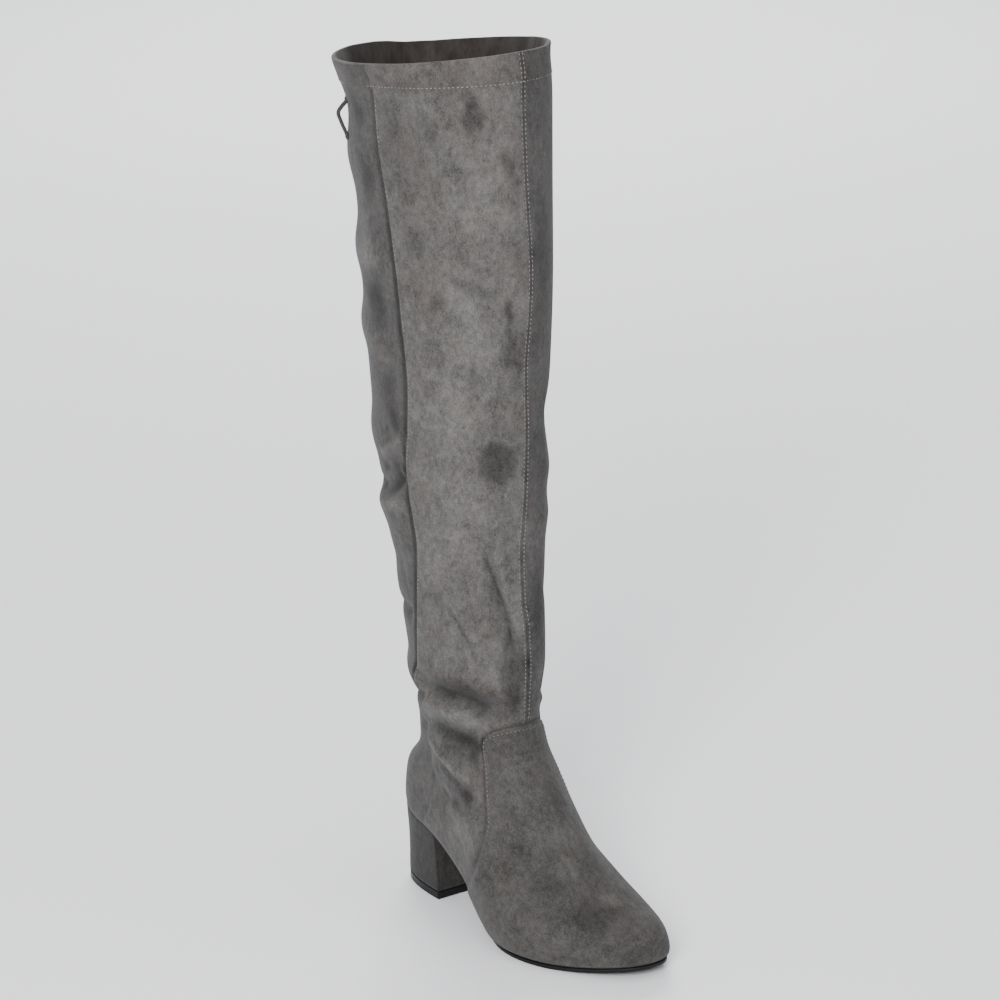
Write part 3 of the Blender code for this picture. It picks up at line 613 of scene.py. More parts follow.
class Finish:
    def __init__(self, name, **constants):
        self.material = bpy.data.materials.new(name)
        self.material.use_nodes = True
        self.tree = self.material.node_tree
        self.shader = self.tree.nodes["Principled BSDF"]
        for socket, value in constants.items():
            self.shader.inputs[socket.replace("_", " ")].default_value = value

    # any node: its type, its settings first, then values or links for its sockets
    def node(self, kind, settings, sockets, output=0):
        made = self.tree.nodes.new(kind)
        for key, value in settings.items():
            setattr(made, key, value)
        for key, value in sockets.items():
            self.put(made.inputs[key], value)
        return Wire(self, made.outputs[output])

    # a link from a wire, or else a plain value
    def put(self, socket, value):
        if isinstance(value, Wire):
            self.tree.links.new(value.socket, socket)
        else:
            socket.default_value = value

    # values or links for the shader itself
    def feed(self, **sockets):
        for key, value in sockets.items():
            self.put(self.shader.inputs[key.replace("_", " ")], value)

    # the piece's own coordinates, stretched
    def place(self, stretch=(1.0, 1.0, 1.0)):
        here = self.node("ShaderNodeTexCoord", {}, {}, "Object")
        return self.node("ShaderNodeMapping", {}, {"Vector": here, "Scale": stretch})

    def noise(self, where, scale, detail, roughness, distortion=0.0):
        return self.node("ShaderNodeTexNoise", {}, {"Vector": where, "Scale": scale, "Detail": detail,
                                                    "Roughness": roughness, "Distortion": distortion})

    # noises about their middle, each times its share, added to a start and kept between zero and one
    def tone(self, *pairs, start=0.5):
        total = start
        for noise, share in pairs:
            total = (noise - noiseMiddle) * share + total
        return total.clamped()

    # the piece's own number at each point
    def value(self, name):
        return self.node("ShaderNodeAttribute", {"attribute_name": name}, {}, "Fac")

    # first colour times one less the share, plus second times the share, or their product; the node's
    # sockets for colours are 6 and 7, and 2 on the way out
    def mix(self, share, first, second, how="MIX"):
        settings = {"data_type": "RGBA", "blend_type": how, "clamp_factor": True}
        return self.node("ShaderNodeMix", settings, {0: share, 6: first, 7: second}, 2)

    def bump(self, height, strength, distance):
        sockets = {"Height": height, "Strength": strength, "Distance": distance}
        self.feed(Normal=self.node("ShaderNodeBump", {}, sockets))


# a colour with full cover
def colour(red, green, blue):
    return (red, green, blue, 1.0)


noiseMiddle = 0.5

# Brushed microsuede: soft clouds where the nap lies one way or the other, a visible grain and a fine pile.
# Noises here and below are given as scale, detail, roughness and distortion.
suedeLook = {
    "dark": colour(0.0300, 0.0282, 0.0268),
    "light": colour(0.1370, 0.1300, 0.1245),
    "warm": colour(0.086, 0.062, 0.053),
    "dim": colour(0.208, 0.213, 0.221),
    "lift": colour(1.75, 1.76, 1.76),
    "brown": colour(0.96, 0.895, 0.875),
    "shader": {"Roughness": 0.96, "Sheen_Weight": 0.10, "Sheen_Roughness": 0.5,
               "Sheen_Tint": colour(0.78, 0.79, 0.80), "Specular_IOR_Level": 0.1},
    "cloud": (36.0, 5.0, 0.56, 0.25),
    "smudge": (115.0, 3.0, 0.55, 0.3),
    "mottle": (270.0, 2.0, 0.5, 0.2),
    "grain": (1000.0, 3.0, 0.7),
    "grainStretch": (1.0, 1.0, 0.7),
    "pile": (2600.0, 2.0, 0.6),
    "warmth": (44.0, 3.0, 0.6, 0.4),
    "smudgeShare": 0.7,
    "mottleShare": 0.75,
    "grainShare": 1.3,
    "pileShare": 0.9,
    "warmContrast": 2.6,
    "warmShare": 0.3,
    "napAndShadeShare": 0.75,
    "napAndShadeUneven": (0.8, 0.4),       # least strength of the nap marks and painted light and shade, and what the smudges add
    "gloss": (0.9, 0.16),
    "bump": (0.7, 0.4, 0.3),         # of grain, pile and smudge
    "bumpDepth": (0.4, 0.0008),
}


# clouds, grain and pile mix dark and light; nap marks and painted light and shade then dim or lift the result
def suede(name, stretch, depth=1.0, calm=1.0, hasNapAndShade=True):
    look = suedeLook
    f = Finish(name, **look["shader"])
    dark, light, warm = [colour(*(depth * v for v in look[key][:3])) for key in ("dark", "light", "warm")]
    lying = f.place(stretch)
    cloud, smudge, mottle, warmth = [f.noise(lying, *look[key])
                                     for key in ("cloud", "smudge", "mottle", "warmth")]
    grain = f.noise(f.place(look["grainStretch"]), *look["grain"])
    pile = f.noise(f.place(), *look["pile"])
    tone = f.tone((cloud, calm), (smudge, look["smudgeShare"] * calm), (mottle, look["mottleShare"]),
                  (grain, look["grainShare"]), (pile, look["pileShare"]))
    warmth = f.tone((warmth, look["warmContrast"]), start=0.0)
    shade = f.mix(warmth * look["warmShare"], f.mix(tone, dark, light), warm)
    if hasNapAndShade:
        shade = f.mix(f.value("warm"), shade, f.mix(1.0, shade, look["brown"], "MULTIPLY"))
        # nap marks and painted light and shade: below zero they dim the colour, above zero they lift it
        least, more = look["napAndShadeUneven"]
        napAndShade = f.value("napAndShade") * (least + smudge * more) * look["napAndShadeShare"]
        shade = f.mix((napAndShade * -1.0).clamped(), shade, f.mix(1.0, shade, look["dim"], "MULTIPLY"))
        shade = f.mix(napAndShade.clamped(), shade, f.mix(1.0, shade, look["lift"], "MULTIPLY"))
    middle, spread = look["gloss"]
    f.feed(Base_Color=shade, Roughness=middle + (grain - noiseMiddle) * spread)
    ofGrain, ofPile, ofSmudge = look["bump"]
    f.bump(grain * ofGrain + pile * ofPile + smudge * ofSmudge, *look["bumpDepth"])
    return f.material


# Plain finishes: two noises, each with its stretch and its share of the tone, mix a dark and a light colour.
# Gloss is the roughness and how uneven the first noise makes it; bump is the share of each noise.
plainLooks = {
    "lining": {
        "shader": {"Sheen_Weight": 0.12, "Specular_IOR_Level": 0.15},
        "noises": ((420.0, 2.0, 0.5), (62.0, 3.0, 0.55)),
        "stretches": ((1.0, 1.0, 0.25), (1.0, 1.0, 0.3)),
        "shares": (0.7, 2.2),
        "start": 0.5,
        "gloss": (0.92, 0.0),
        "bump": (1.0, 0.0),
        "bumpDepth": (0.35, 0.0005),
    },
    "rubber": {
        "shader": {"Specular_IOR_Level": 0.22},
        "noises": ((160.0, 4.0, 0.65), (520.0, 3.0, 0.6)),
        "stretches": ((1.0, 1.0, 1.0), (0.25, 1.0, 2.0)),
        "shares": (1.6, 0.7),
        "start": 0.064,
        "gloss": (0.45, 0.35),
        "bump": (0.5, 0.5),
        "bumpDepth": (0.25, 0.0004),
    },
    "cloth": {
        "shader": {"Sheen_Weight": 0.1, "Specular_IOR_Level": 0.2},
        "noises": ((1.0, 2.0, 0.5), (140.0, 3.0, 0.6)),
        "stretches": ((1.0, 1.0, 2.2), (1.0, 1.0, 1.0)),
        "shares": (1.2, 0.6),
        "start": 0.5,
        "gloss": (0.82, 0.2),
        "bump": (1.0, 0.0),
        "bumpDepth": (0.5, 0.0004),
    },
    "metal": {
        "shader": {"Metallic": 1.0},
        "noises": ((700.0, 4.0, 0.6), (2600.0, 2.0, 0.5)),
        "stretches": ((1.0, 1.0, 1.0), (1.0, 1.0, 0.12)),
        "shares": (1.5, 0.5),
        "start": 0.375,
        "gloss": (0.46, 0.24),
        "bump": (0.0, 1.0),
        "bumpDepth": (0.12, 0.0002),
    },
}
# painted shade in the zip tape's grooves beside the teeth: its colour and share
grooveShadeColour = colour(0.004, 0.004, 0.004)
grooveShadeShare = 0.92


# a plain finish: the noises' tone mixes the colours, and painted shade makes a groove nearly black
def plain(name, kind, dark, light, scale=1.0, duller=0.0, hasGrooveShade=False):
    look = plainLooks[kind]
    f = Finish(name, **look["shader"])
    (size, *detail), second = look["noises"]
    stretch, secondStretch = look["stretches"]
    one = f.noise(f.place(stretch), size * scale, *detail)
    two = f.noise(f.place(secondStretch), *second)
    shade = f.mix(f.tone(*zip((one, two), look["shares"]), start=look["start"]), dark, light)
    if hasGrooveShade:
        shade = f.mix(f.value("groove") * grooveShadeShare, shade, grooveShadeColour)
    middle, uneven = look["gloss"]
    gloss = middle + duller
    f.feed(Base_Color=shade, Roughness=gloss + (one - noiseMiddle) * uneven if uneven else gloss)
    ofOne, ofTwo = look["bump"]
    f.bump(one * ofOne + two * ofTwo, *look["bumpDepth"])
    return f.material


shaftSuede = suede("shaftSuede", (1.0, 1.0, 0.78), 1.0, 0.8)
vampSuede = suede("vampSuede", (0.8, 1.0, 0.9), 0.69, 0.75)
heelSuede = suede("heelSuede", (1.0, 1.0, 0.6), 0.375, 0.8, False)
bootLining = plain("bootLining", "lining", colour(0.012, 0.0100, 0.0092), colour(0.044, 0.0365, 0.0335))
rubberColours = (colour(0.0026, 0.0026, 0.0028), colour(0.014, 0.0137, 0.0134))
soleRubber = plain("soleRubber", "rubber", *rubberColours, duller=0.07)
liftRubber = plain("liftRubber", "rubber", *rubberColours)
zipCloth = plain("zipCloth", "cloth", colour(0.024, 0.023, 0.0225), colour(0.080, 0.077, 0.075), 900.0,
                 hasGrooveShade=True)
loopCloth = plain("loopCloth", "cloth", colour(0.018, 0.0175, 0.0175), colour(0.062, 0.060, 0.059), 800.0)
threadCloth = plain("threadCloth", "cloth", colour(0.06, 0.058, 0.055), colour(0.29, 0.278, 0.266), 500.0)
hemCloth = plain("hemCloth", "cloth", colour(0.08, 0.077, 0.073), colour(0.34, 0.325, 0.31), 420.0)
zipThread = plain("zipThread", "cloth", colour(0.05, 0.048, 0.046), colour(0.22, 0.212, 0.202), 600.0)
toothNylon = plain("toothNylon", "cloth", colour(0.045, 0.044, 0.043), colour(0.15, 0.146, 0.142), 1200.0)
dullMetal = plain("dullMetal", "metal", colour(0.065, 0.064, 0.063), colour(0.24, 0.236, 0.23))
print("finishes made")

# The vamp: an overlay over toe and instep with a rounded, stitched edge, given in side view.
vamp = {
    "edge": ((99.0, 28.0), (111.0, 38.5), (120.0, 50.0), (125.0, 63.0), (126.0, 76.0), (124.0, 89.0),
             (119.5, 103.0), (115.5, 116.0), (112.0, 128.0), (110.0, 137.0), (110.4, 140.0)),
    "edgePoints": 90,
    "topAtFront": 7.78,
    "topPower": 3.0,
    "cornerDrop": 0.22,
    "cornerPower": 26,
    "bottom": 0.02,
    "thickness": 1.5,
    "baseGap": 0.12,
    "skin": 0.02,
    "edgeRound": 1.1,
    "rows": 120,
    "columns": 220,
    "stitchIn": 1.3,
    "stitchSpan": 50.0,      # half the overlay's width, roughly
    "stitchRun": (0.14, 0.988),
    "stitchPoints": 240,
    "stitchSunk": 0.1,
    "grooveDepth": 0.3,
    "grooveWidth": 0.7,
    "stitchFrom": 72.0,      # height at which the stitches are lost in the nap
    "flushFrom": (48.0, 88.0),
    "flushRound": 7.0,
    "footRound": 2.2,        # how much tighter the border is rounded at the sole
    "rim": -0.75,            # painted shadow beside the border, its widths, and its strength at the top
    "rimSide": 1.3,
    "rimTop": 1.0,
    "rimTopShare": 0.7,
    "rimCorner": 0.1,
    "rimPast": 1.06,
    "rimInside": -0.5,
    "sectionHeight": 20.0,   # millimetres for one section, there
}


# the overlay's border on one side: sections, and half angles from the front
def vampBorder(inner):
    line = through(vamp["edge"], vamp["edgePoints"])
    edgeS, edgeAngle = placeOn(line[:, 0], line[:, 1], inner)
    order = np.argsort(edgeS)
    return edgeS[order], np.abs(edgeAngle - math.pi)[order]


vampOuter, vampInner = vampBorder(False), vampBorder(True)
vampCorner = placeOn(*np.array(vamp["edge"][-1:]).T, False)[0][0]


# half angle of the overlay from the front at section s
def vampHalfAngle(s, inner):
    return np.where(inner, np.interp(s, *vampInner), np.interp(s, *vampOuter))


# section of the overlay's upper border, from its front to its corner by a power of the share across
def vampTop(share):
    return vamp["topAtFront"] + (vampCorner - vamp["topAtFront"]) * share ** vamp["topPower"]


# section and angle of the overlay at u across (-1 outer to 1 inner) and v up (0 at the sole)
def vampPlace(u, v):
    top = vampTop(np.abs(u)) - vamp["cornerDrop"] * np.abs(u) ** vamp["cornerPower"]
    s = vamp["bottom"] + (top - vamp["bottom"]) * v
    return s, math.pi + u * vampHalfAngle(s, u >= 0)


# The upper: one closed shell, up the outer face, over the rim and down the lining to the lower edge.
shell = {
    "halfColumns": 138,
    "seamColumn": 60,
    "seamDense": (0.80, 7.0),       # how much and over how many columns the grid tightens at the side seams
    "frontDense": (0.72, 6.0),
    "rowsBetween": (5, 5, 6, 8, 9, 10, 12, 24, 26, 32, 32, 28, 19, 17, 14),
    "rimRows": 7,
    "innerBetween": (2, 1, 1, 2, 3, 5, 8, 10, 12, 10, 14, 8, 5, 4, 3),
    "liningReach": 0.05,
    "liningOut": 0.6,               # how far a fold may push the lining out
    "pleats": 0.9,                  # soft upright folds of the lining below the rim
    "pleatWaves": (9, 4, 1),
    "pleatFrom": (11.0, 14.0),
    "pleatTo": (14.4, 15.0),
    # how far the rim sags, as (angle, millimetres)
    "sag": ((0, -0.4), (20, -0.6), (40, 0.4), (60, 1.6), (90, 2.8), (120, 2.8), (150, 1.6), (180, 0.7),
            (210, 0.3), (240, 0.6), (270, 1.6), (300, 2.6), (325, 3.0), (342, 2.2), (352, 0.4), (360, -0.4)),
    "sagFrom": 13.9,
}

# Marks on the nap, some of them painted light and shade of folds and hollows: (angle, height, half width,
# half height, lighter or darker).
napAndShadeMarks = (
    (112, 545, 26, 30, -0.30), (74, 545, 12, 30, -0.2), (147, 579, 4.5, 11, -0.7), (150.5, 567, 6, 12, -0.8),
    (167.5, 540, 5, 9, -0.7), (101.5, 562, 9, 14, -0.4), (142, 531, 11, 6, -0.4), (110, 483, 9, 10, -0.6),
    (167.5, 440, 3, 11, -0.9), (166, 417, 5, 15, -0.7), (143.5, 400, 3.5, 13, -0.7), (175, 405, 4, 22, -0.6),
    (123, 444, 6, 8, -0.5), (139, 458, 11, 4, -0.6), (148.5, 452, 10, 5, -0.5), (150, 511, 20, 30, 0.3),
    (140, 425, 18, 30, 0.35), (132, 372, 20, 26, 0.4), (128, 300, 18, 30, 0.35), (112, 262, 14, 22, 0.3),
    (78, 433, 15, 22, -0.5), (85, 373, 10, 18, -0.4), (88.5, 353, 7, 9, -0.6), (88, 318, 9, 7, -0.5),
    (72, 566, 12, 14, -0.5), (80, 520, 9, 18, -0.62), (72, 470, 12, 12, 0.5), (80, 395, 10, 10, 0.4),
    (154, 244, 5, 11, -0.22), (146, 231, 8, 9, -0.2), (158, 218, 6, 9, -0.2), (127, 210, 4, 10, -0.25),
    (112, 236, 6, 8, -0.4), (108, 172, 20, 8, -0.14), (132, 171, 17, 8, -0.2), (153, 163, 10, 10, -0.34),
    (172, 190, 7, 28, -0.2), (165, 162, 12, 13, -0.28), (191, 275, 9, 28, 0.4), (191, 205, 9, 30, -0.3),
    (95, 152.5, 16, 5, 0.15), (120, 151, 14, 5, 0.15),
    (118, 135, 8, 6, -0.3), (126, 124, 5, 10, -0.5), (84, 121, 10, 4, 0.15),
    (72, 102, 6, 9, -0.4), (89, 87, 6, 6, -0.5), (108, 98, 5, 8, -0.5), (96, 72, 12, 10, 0.3),
    (196, 470, 9, 40, -0.3), (205, 330, 10, 26, -0.3), (200, 230, 8, 30, -0.4), (232, 500, 16, 30, 0.3),
    (236, 420, 14, 26, -0.4), (246, 330, 14, 20, 0.35), (300, 520, 16, 26, -0.4), (330, 430, 18, 30, 0.35),
    (310, 340, 16, 22, -0.4), (350, 500, 20, 28, 0.3), (20, 410, 18, 30, -0.35), (40, 500, 14, 26, 0.3),
    (330, 220, 12, 20, -0.35), (20, 230, 12, 20, 0.3), (340, 110, 12, 12, 0.3), (285, 110, 8, 12, -0.4),
)
# marks with a clear edge, a dark patch on the nap and a painted shadow beside the shin's fold, and brown
# ones, in the same manner
crispMarks = ((160.2, 335.7, 13.2, 16.4, -0.86), (169.6, 188, 8.6, 29, -0.62))
warmMarks = (
    (104, 173, 16, 6, 0.8), (122, 172.5, 17, 6, 0.9), (140, 171, 12, 6, 0.7), (108, 541, 11, 13, 0.55),
    (118, 530, 9, 8, 0.4), (144, 499, 10, 12, 0.5), (128, 470, 14, 10, 0.35), (173, 410, 6, 14, 0.4),
    (128, 138.6, 6, 5, 0.9), (122.5, 113, 7, 6, 0.8), (111, 102, 8, 7, 0.7), (84, 84, 10, 8, 0.4),
    (60, 100, 12, 16, 0.3), (150, 570, 20, 10, 0.3), (236, 130, 10, 10, 0.5), (230, 420, 14, 16, 0.3),
    (20, 470, 20, 24, 0.3), (330, 330, 18, 20, 0.3),
)
# Light and shade along the creases: strength, half width and the line as (angle, height).
creaseShade = {
    "shinFold": (-0.80, 1.3, ((147, 276), (150, 266), (157.3, 250), (162, 231), (168.8, 214.6), (167, 205))),
    "shinLeft": (-0.20, 4.5, ((148, 262), (153, 240), (158, 218), (153, 198))),
    "shinLight": (0.26, 4.0, ((153, 274), (164, 249), (171, 228), (176, 210))),
    "shinSmall": (-0.36, 1.5, ((123, 226), (126.5, 216), (132, 204), (138, 189))),
    "shinSmallLight": (0.18, 4.0, ((129, 224), (134, 211), (141, 196))),
    "ankleBand": (-0.64, 6.3, ((82, 166), (97.5, 166), (110.8, 165.5), (127.7, 164), (138.8, 161),
                               (152, 158))),
    "ankleUpperShade": (-0.44, 6.0, ((90, 173), (104, 173), (122, 172.5), (142, 171), (154, 170))),
    "ankleLight": (0.30, 3.6, ((74, 149.5), (96, 152.7), (109.8, 152), (126.8, 149.7), (142, 149))),
    "hollow": (-0.60, 5.0, ((70, 134.5), (87, 138), (102, 138), (116, 136), (128.8, 134.5), (136, 131))),
    "hollowLow": (-0.38, 5.5, ((92, 129), (103, 127.8), (121.5, 128), (130, 126))),
    "diagonalLight": (0.55, 2.0, ((68, 127), (75, 124), (84.2, 119.7), (96, 115.5), (104, 112),
                                  (111.5, 109.8), (117, 107))),
    "diagonalDark": (-0.34, 3.2, ((76, 115), (90, 109), (102, 104), (111, 101))),
    "quarterDark": (-0.24, 4.5, ((74, 92), (88, 88), (104, 92), (114, 99))),
    "quarterUnder": (-0.30, 4.0, ((76, 101), (86, 100.4), (97, 98.2), (110, 97))),
    "calfPinch": (-0.55, 3.6, ((62, 301), (78, 303), (92, 315))),
    "calfRidge": (0.40, 3.2, ((70, 326), (84, 334), (99, 349))),
    "calfBulge": (0.40, 4.0, ((58, 289), (78, 294), (94, 302))),
    "backWaveOne": (0.35, 7.0, ((52, 462), (68, 461), (88, 466))),
    "backWaveTwo": (-0.35, 7.0, ((52, 440), (68, 437), (88, 442))),
    "backWaveThree": (0.35, 7.0, ((52, 411), (66, 409), (86, 414))),
    "innerAnkle": (-0.26, 7.0, ((204, 179), (220, 175), (236, 170), (252, 167), (270, 165))),
    "innerLight": (0.40, 4.0, ((208, 154), (228, 156), (248, 155), (264, 151))),
    "innerPoint": (-0.55, 2.0, ((238, 72), (246, 86), (252, 92), (258, 80), (262, 70))),
}
shadePaths = linesOnForm(creaseShade)
panelTone = {
    "foot": -0.26,
    "footTo": (6.6, 8.2),
    "hem": -0.14,
    "hemWarm": 0.35,
    "shaftFrom": (7.2, 8.4),
    "back": -0.50,           # the back panel is darker, partly from its nap that lies the other way, partly painted shade on the side turned from the light
    "backOnFoot": 0.25,
    "border": 0.8,           # half the width over which one panel turns into the next
    "innerFrontShade": -0.58,     # painted shade beside the front seam, fading to the inner side over these angles
    "innerFade": (204.0, 238.0),
    "sideLine": -0.66,       # the outer seam's soft shade, its place behind the seam and its width
    "sideAt": 1.9,
    "sideWidth": 2.5,
    "sideOnFoot": 0.3,
    "sideHigh": 0.5,
    "sideFade": (12.2, 13.6),
    "sideHem": 0.8,
    # painted shade in the groove of the seam above the zip: strength, place beside the seam and width
    "innerSeamShade": -0.8,
    "seamAt": 1.1,
    "seamWidth": 1.5,
    # painted shade in the front seam's groove, and its width
    "frontSeamShade": -0.42,
    "frontWidth": 1.0,
    "foldShading": 0.06,       # painted shade in troughs and painted light on ridges, for each millimetre
}
markEdge = {
    # for each axis two sines, the second half as big: axis, wavelength, axis, wavelength and phase
    "waves": (((2, 5.3, 1, 9.1, 0), (2, 2.7, 0, 6.1, 0)),
              ((2, 6.1, 0, 8.3, 2), (2, 3.1, 1, -5.3, 0)),
              ((0, 4.7, 1, 7.9, 1), (1, 3.3, 2, 9.7, 0))),
    "shake": 1.6,
    "lineShake": 0.8,
    "softPower": 3.2,
    "crispPower": 7.0,
}


# a sine over two axes
def wave(p, first, firstLength, second, secondLength, phase):
    return np.sin(p[..., first] / firstLength + p[..., second] / secondLength + phase)


# a point shaken by a few sines, so that a mark's edge is uneven
def shaken(p, size):
    moved = [wave(p, *large) + 0.5 * wave(p, *small) for large, small in markEdge["waves"]]
    return p + size * np.stack(moved, -1)


# sum of marks that fall off by e to the minus power of the distance over their size
def marksFrom(marks, s, angle, power=markEdge["softPower"]):
    p = shaken(lastPoint(s, angle), markEdge["shake"])
    total = np.zeros(p.shape[:-1])
    for degrees, height, halfWide, halfHigh, strength in marks:
        turn = np.array(math.radians(degrees))
        middle = lastPoint(sectionAt(turn, np.array(float(height))), turn)
        apart = np.linalg.norm((p - middle) / (halfWide, halfWide, halfHigh), axis=-1)
        total += strength * np.exp(-apart ** power)
    return total


# shadow beside the overlay: a bell of the distance outside its border, at the sides and at the top
def vampShadow(s, angle, scale):
    half = vampHalfAngle(s, angle >= math.pi)
    share = np.abs(angle - math.pi) / half
    inside = vamp["rimInside"]
    side = bell(np.clip((share - 1) * half * scale, inside, None), vamp["rimSide"])
    side = side * (1 - ease(vampCorner, vampCorner + vamp["rimCorner"], s))
    above = (s - vampTop(np.clip(share, 0, 1))) * vamp["sectionHeight"]
    over = bell(np.clip(above, inside, None), vamp["rimTop"]) * (1 - ease(1.0, vamp["rimPast"], share))
    side = side * ease(*vamp["flushFrom"], lastPoint(s, angle)[..., 2])
    return np.maximum(side, over * vamp["rimTopShare"])


# the shaft's nap marks with painted light and shade: marks, the tone of each panel, painted shade in the
# seams and beside the overlay, and the folds' painted light and shade
def shaftNapAndShade(s, angle):
    tone = panelTone
    scale = roundScale(s, angle)
    outer = (angle - seamAngle(seams["outer"], s)) * scale
    front = (angle - seamAngle(seams["front"], s)) * scale
    inner = (angle - innerAngle(s)) * scale
    shaft = ease(*tone["shaftFrom"], s)
    border = (-tone["border"], tone["border"])
    back = np.clip(1 - ease(*border, outer) + ease(*border, inner), 0, 1)
    total = marksFrom(napAndShadeMarks, s, angle) + marksFrom(crispMarks, s, angle, markEdge["crispPower"])
    total = total + tone["back"] * back * (tone["backOnFoot"] + (1 - tone["backOnFoot"]) * shaft)
    beside = ease(*border, front) * (1 - ease(*tone["innerFade"], np.degrees(angle)))
    total = total + tone["innerFrontShade"] * beside * (1 - back) * shaft
    sideLine = tone["sideLine"] * bell(outer + tone["sideAt"], tone["sideWidth"])
    sideLine = sideLine * (tone["sideOnFoot"] + (1 - tone["sideOnFoot"]) * shaft)
    sideLine = sideLine * (1 - tone["sideHigh"] * ease(*tone["sideFade"], s))
    total = total + sideLine * (1 - tone["sideHem"] * inHem(s))
    innerSeamShade = tone["innerSeamShade"] * bell(inner - tone["seamAt"], tone["seamWidth"])
    total = total + innerSeamShade * ease(zipTop, zipTop + zipper["shadeEnd"], s)
    total = total + tone["frontSeamShade"] * bell(front, tone["frontWidth"]) * shaft
    total = total + vamp["rim"] * vampShadow(s, angle, scale)
    total = total + tone["foot"] * (1 - ease(*tone["footTo"], s)) + tone["hem"] * inHem(s)
    p = lastPoint(s, angle)
    return total + tone["foldShading"] * foldLift(p) + foldLift(shaken(p, markEdge["lineShake"]), shadePaths)


# column angles for each row: from the back to a side seam and on to the front, tighter at both
def shellAngles(s):
    count, seam = shell["halfColumns"], shell["seamColumn"]
    k = np.arange(count) + 0.5
    seamShare, seamReach = shell["seamDense"]
    frontShare, frontReach = shell["frontDense"]
    weight = 1 - seamShare * bell(k - seam, seamReach) - frontShare * bell(k - count, frontReach)
    walk = np.concatenate([[0.0], np.cumsum(weight)])
    first = walk[:seam + 1] / walk[seam]
    second = (walk[seam + 1:] - walk[seam]) / (walk[-1] - walk[seam])
    halves = []
    front = seamAngle(seams["front"], s)[:, None]
    for at, end in ((seamAngle(seams["outer"], s)[:, None], front),
                    (fullTurn - innerAngle(s)[:, None], fullTurn - front)):
        halves.append(np.concatenate([first * at, at + (end - at) * second], axis=1))
    return np.concatenate([halves[0], fullTurn - halves[1][:, -2:0:-1]], axis=1)


# section numbers with a given count of rows in each span of the table
def rowsFrom(counts):
    spans = [np.linspace(i, i + 1, n, endpoint=False) for i, n in enumerate(counts)]
    return np.concatenate(spans + [[float(lastSection)]])


# the outer face, half a turn over the rim, and the lining: the form sunk by the wall, folds and pleats
def buildUpper():
    s = rowsFrom(shell["rowsBetween"])
    angle = shellAngles(s)
    outer = facePoint(s[:, None], angle)
    innerS = rowsFrom(shell["innerBetween"])[::-1]
    innerTurn = shellAngles(innerS)
    many, few, phase = shell["pleatWaves"]
    pleat = np.sin(innerTurn * many) * np.sin(innerTurn * few + phase) * shell["pleats"]
    pleat = pleat * (ease(*shell["pleatFrom"], innerS) * (1 - ease(*shell["pleatTo"], innerS)))[:, None]
    reach = shell["liningReach"]
    near = [foldLift(lastPoint(np.clip(innerS + step, 0, lastSection)[:, None], innerTurn))
            for step in (-reach, 0.0, reach)]
    sunk = np.minimum(np.min(near, axis=0), shell["liningOut"]) - boot["wall"] - pleat
    inner = lastPoint(innerS[:, None], innerTurn) + lastNormal(innerS[:, None], innerTurn) * sunk[..., None]
    inner[-1, :, 2] = soleLine(inner[-1, :, 0])
    up = unit(outer[-1] - outer[-3])
    middle = (outer[-1] + inner[0]) / 2
    half = (outer[-1] - inner[0]) / 2
    turn = np.linspace(0, math.pi, shell["rimRows"] + 2)[1:-1, None, None]
    rim = middle + half * np.cos(turn) + up * np.sin(turn) * boot["rimRound"]
    rows = np.concatenate([outer, rim, inner])
    rowS = np.concatenate([s, np.full(len(rim), float(lastSection)), innerS])[:, None]
    rowTurn = np.concatenate([angle, np.repeat(angle[-1:], len(rim), axis=0), innerTurn])
    sag = np.interp(np.degrees(rowTurn), *np.array(shell["sag"]).T)
    rows[..., 2] -= sag * ease(shell["sagFrom"], float(lastSection), rowS)
    columns = angle.shape[1]
    faces = gridFaces(len(rows), columns, wrapRows=True)
    piece = makePiece("upperSuede", rows.reshape(-1, 3), faces, shaftSuede)
    piece.data.materials.append(bootLining)
    faceRow = np.arange(len(rows)).repeat(columns)
    onLining = (faceRow >= len(outer) + len(rim) - 1).astype(np.int32)
    piece.data.polygons.foreach_set("material_index", onLining)
    warm = marksFrom(warmMarks, s[:, None], angle) + panelTone["hemWarm"] * inHem(s)[:, None]
    for name, marked in (("napAndShade", shaftNapAndShade(s[:, None], angle)), ("warm", warm)):
        values = np.zeros(rows.shape[:2])
        values[:len(outer)] = marked
        addValues(piece, name, values)
    settle(piece, "suede", "upper")


buildUpper()

# the overlay's own marks, and its brown ones, in the same manner
vampMarks = (
    (138.5, 51.5, 15, 11, -0.42), (146, 38, 20, 9, -0.36), (157, 38, 15, 8, -0.28), (168, 30, 38, 16, -0.2),
    (130, 66, 13, 10, -0.28), (151, 67, 10, 9, -0.2), (124, 28, 13, 7, 0.2), (182.8, 43.4, 9, 7, 0.35),
    (162, 114, 13, 14, 0.2),
    (165, 63, 9, 6, 0.22), (176, 76, 12, 9, 0.2), (140, 88, 9, 9, 0.15), (150, 100, 8, 8, -0.12),
    (190, 100, 8, 12, -0.3), (200, 60, 10, 10, -0.3), (215, 40, 12, 9, -0.25), (230, 60, 12, 12, 0.2),
    (180, 24, 16, 6, 0.15), (165, 20, 12, 6, -0.2), (205, 128, 8, 8, -0.2), (171.8, 38.6, 9, 6, -0.2),
)
vampWarm = ((172, 40, 9, 6, 0.8), (160, 44, 8, 5, 0.4), (120, 60, 10, 8, 0.4), (204, 36, 10, 8, 0.4))


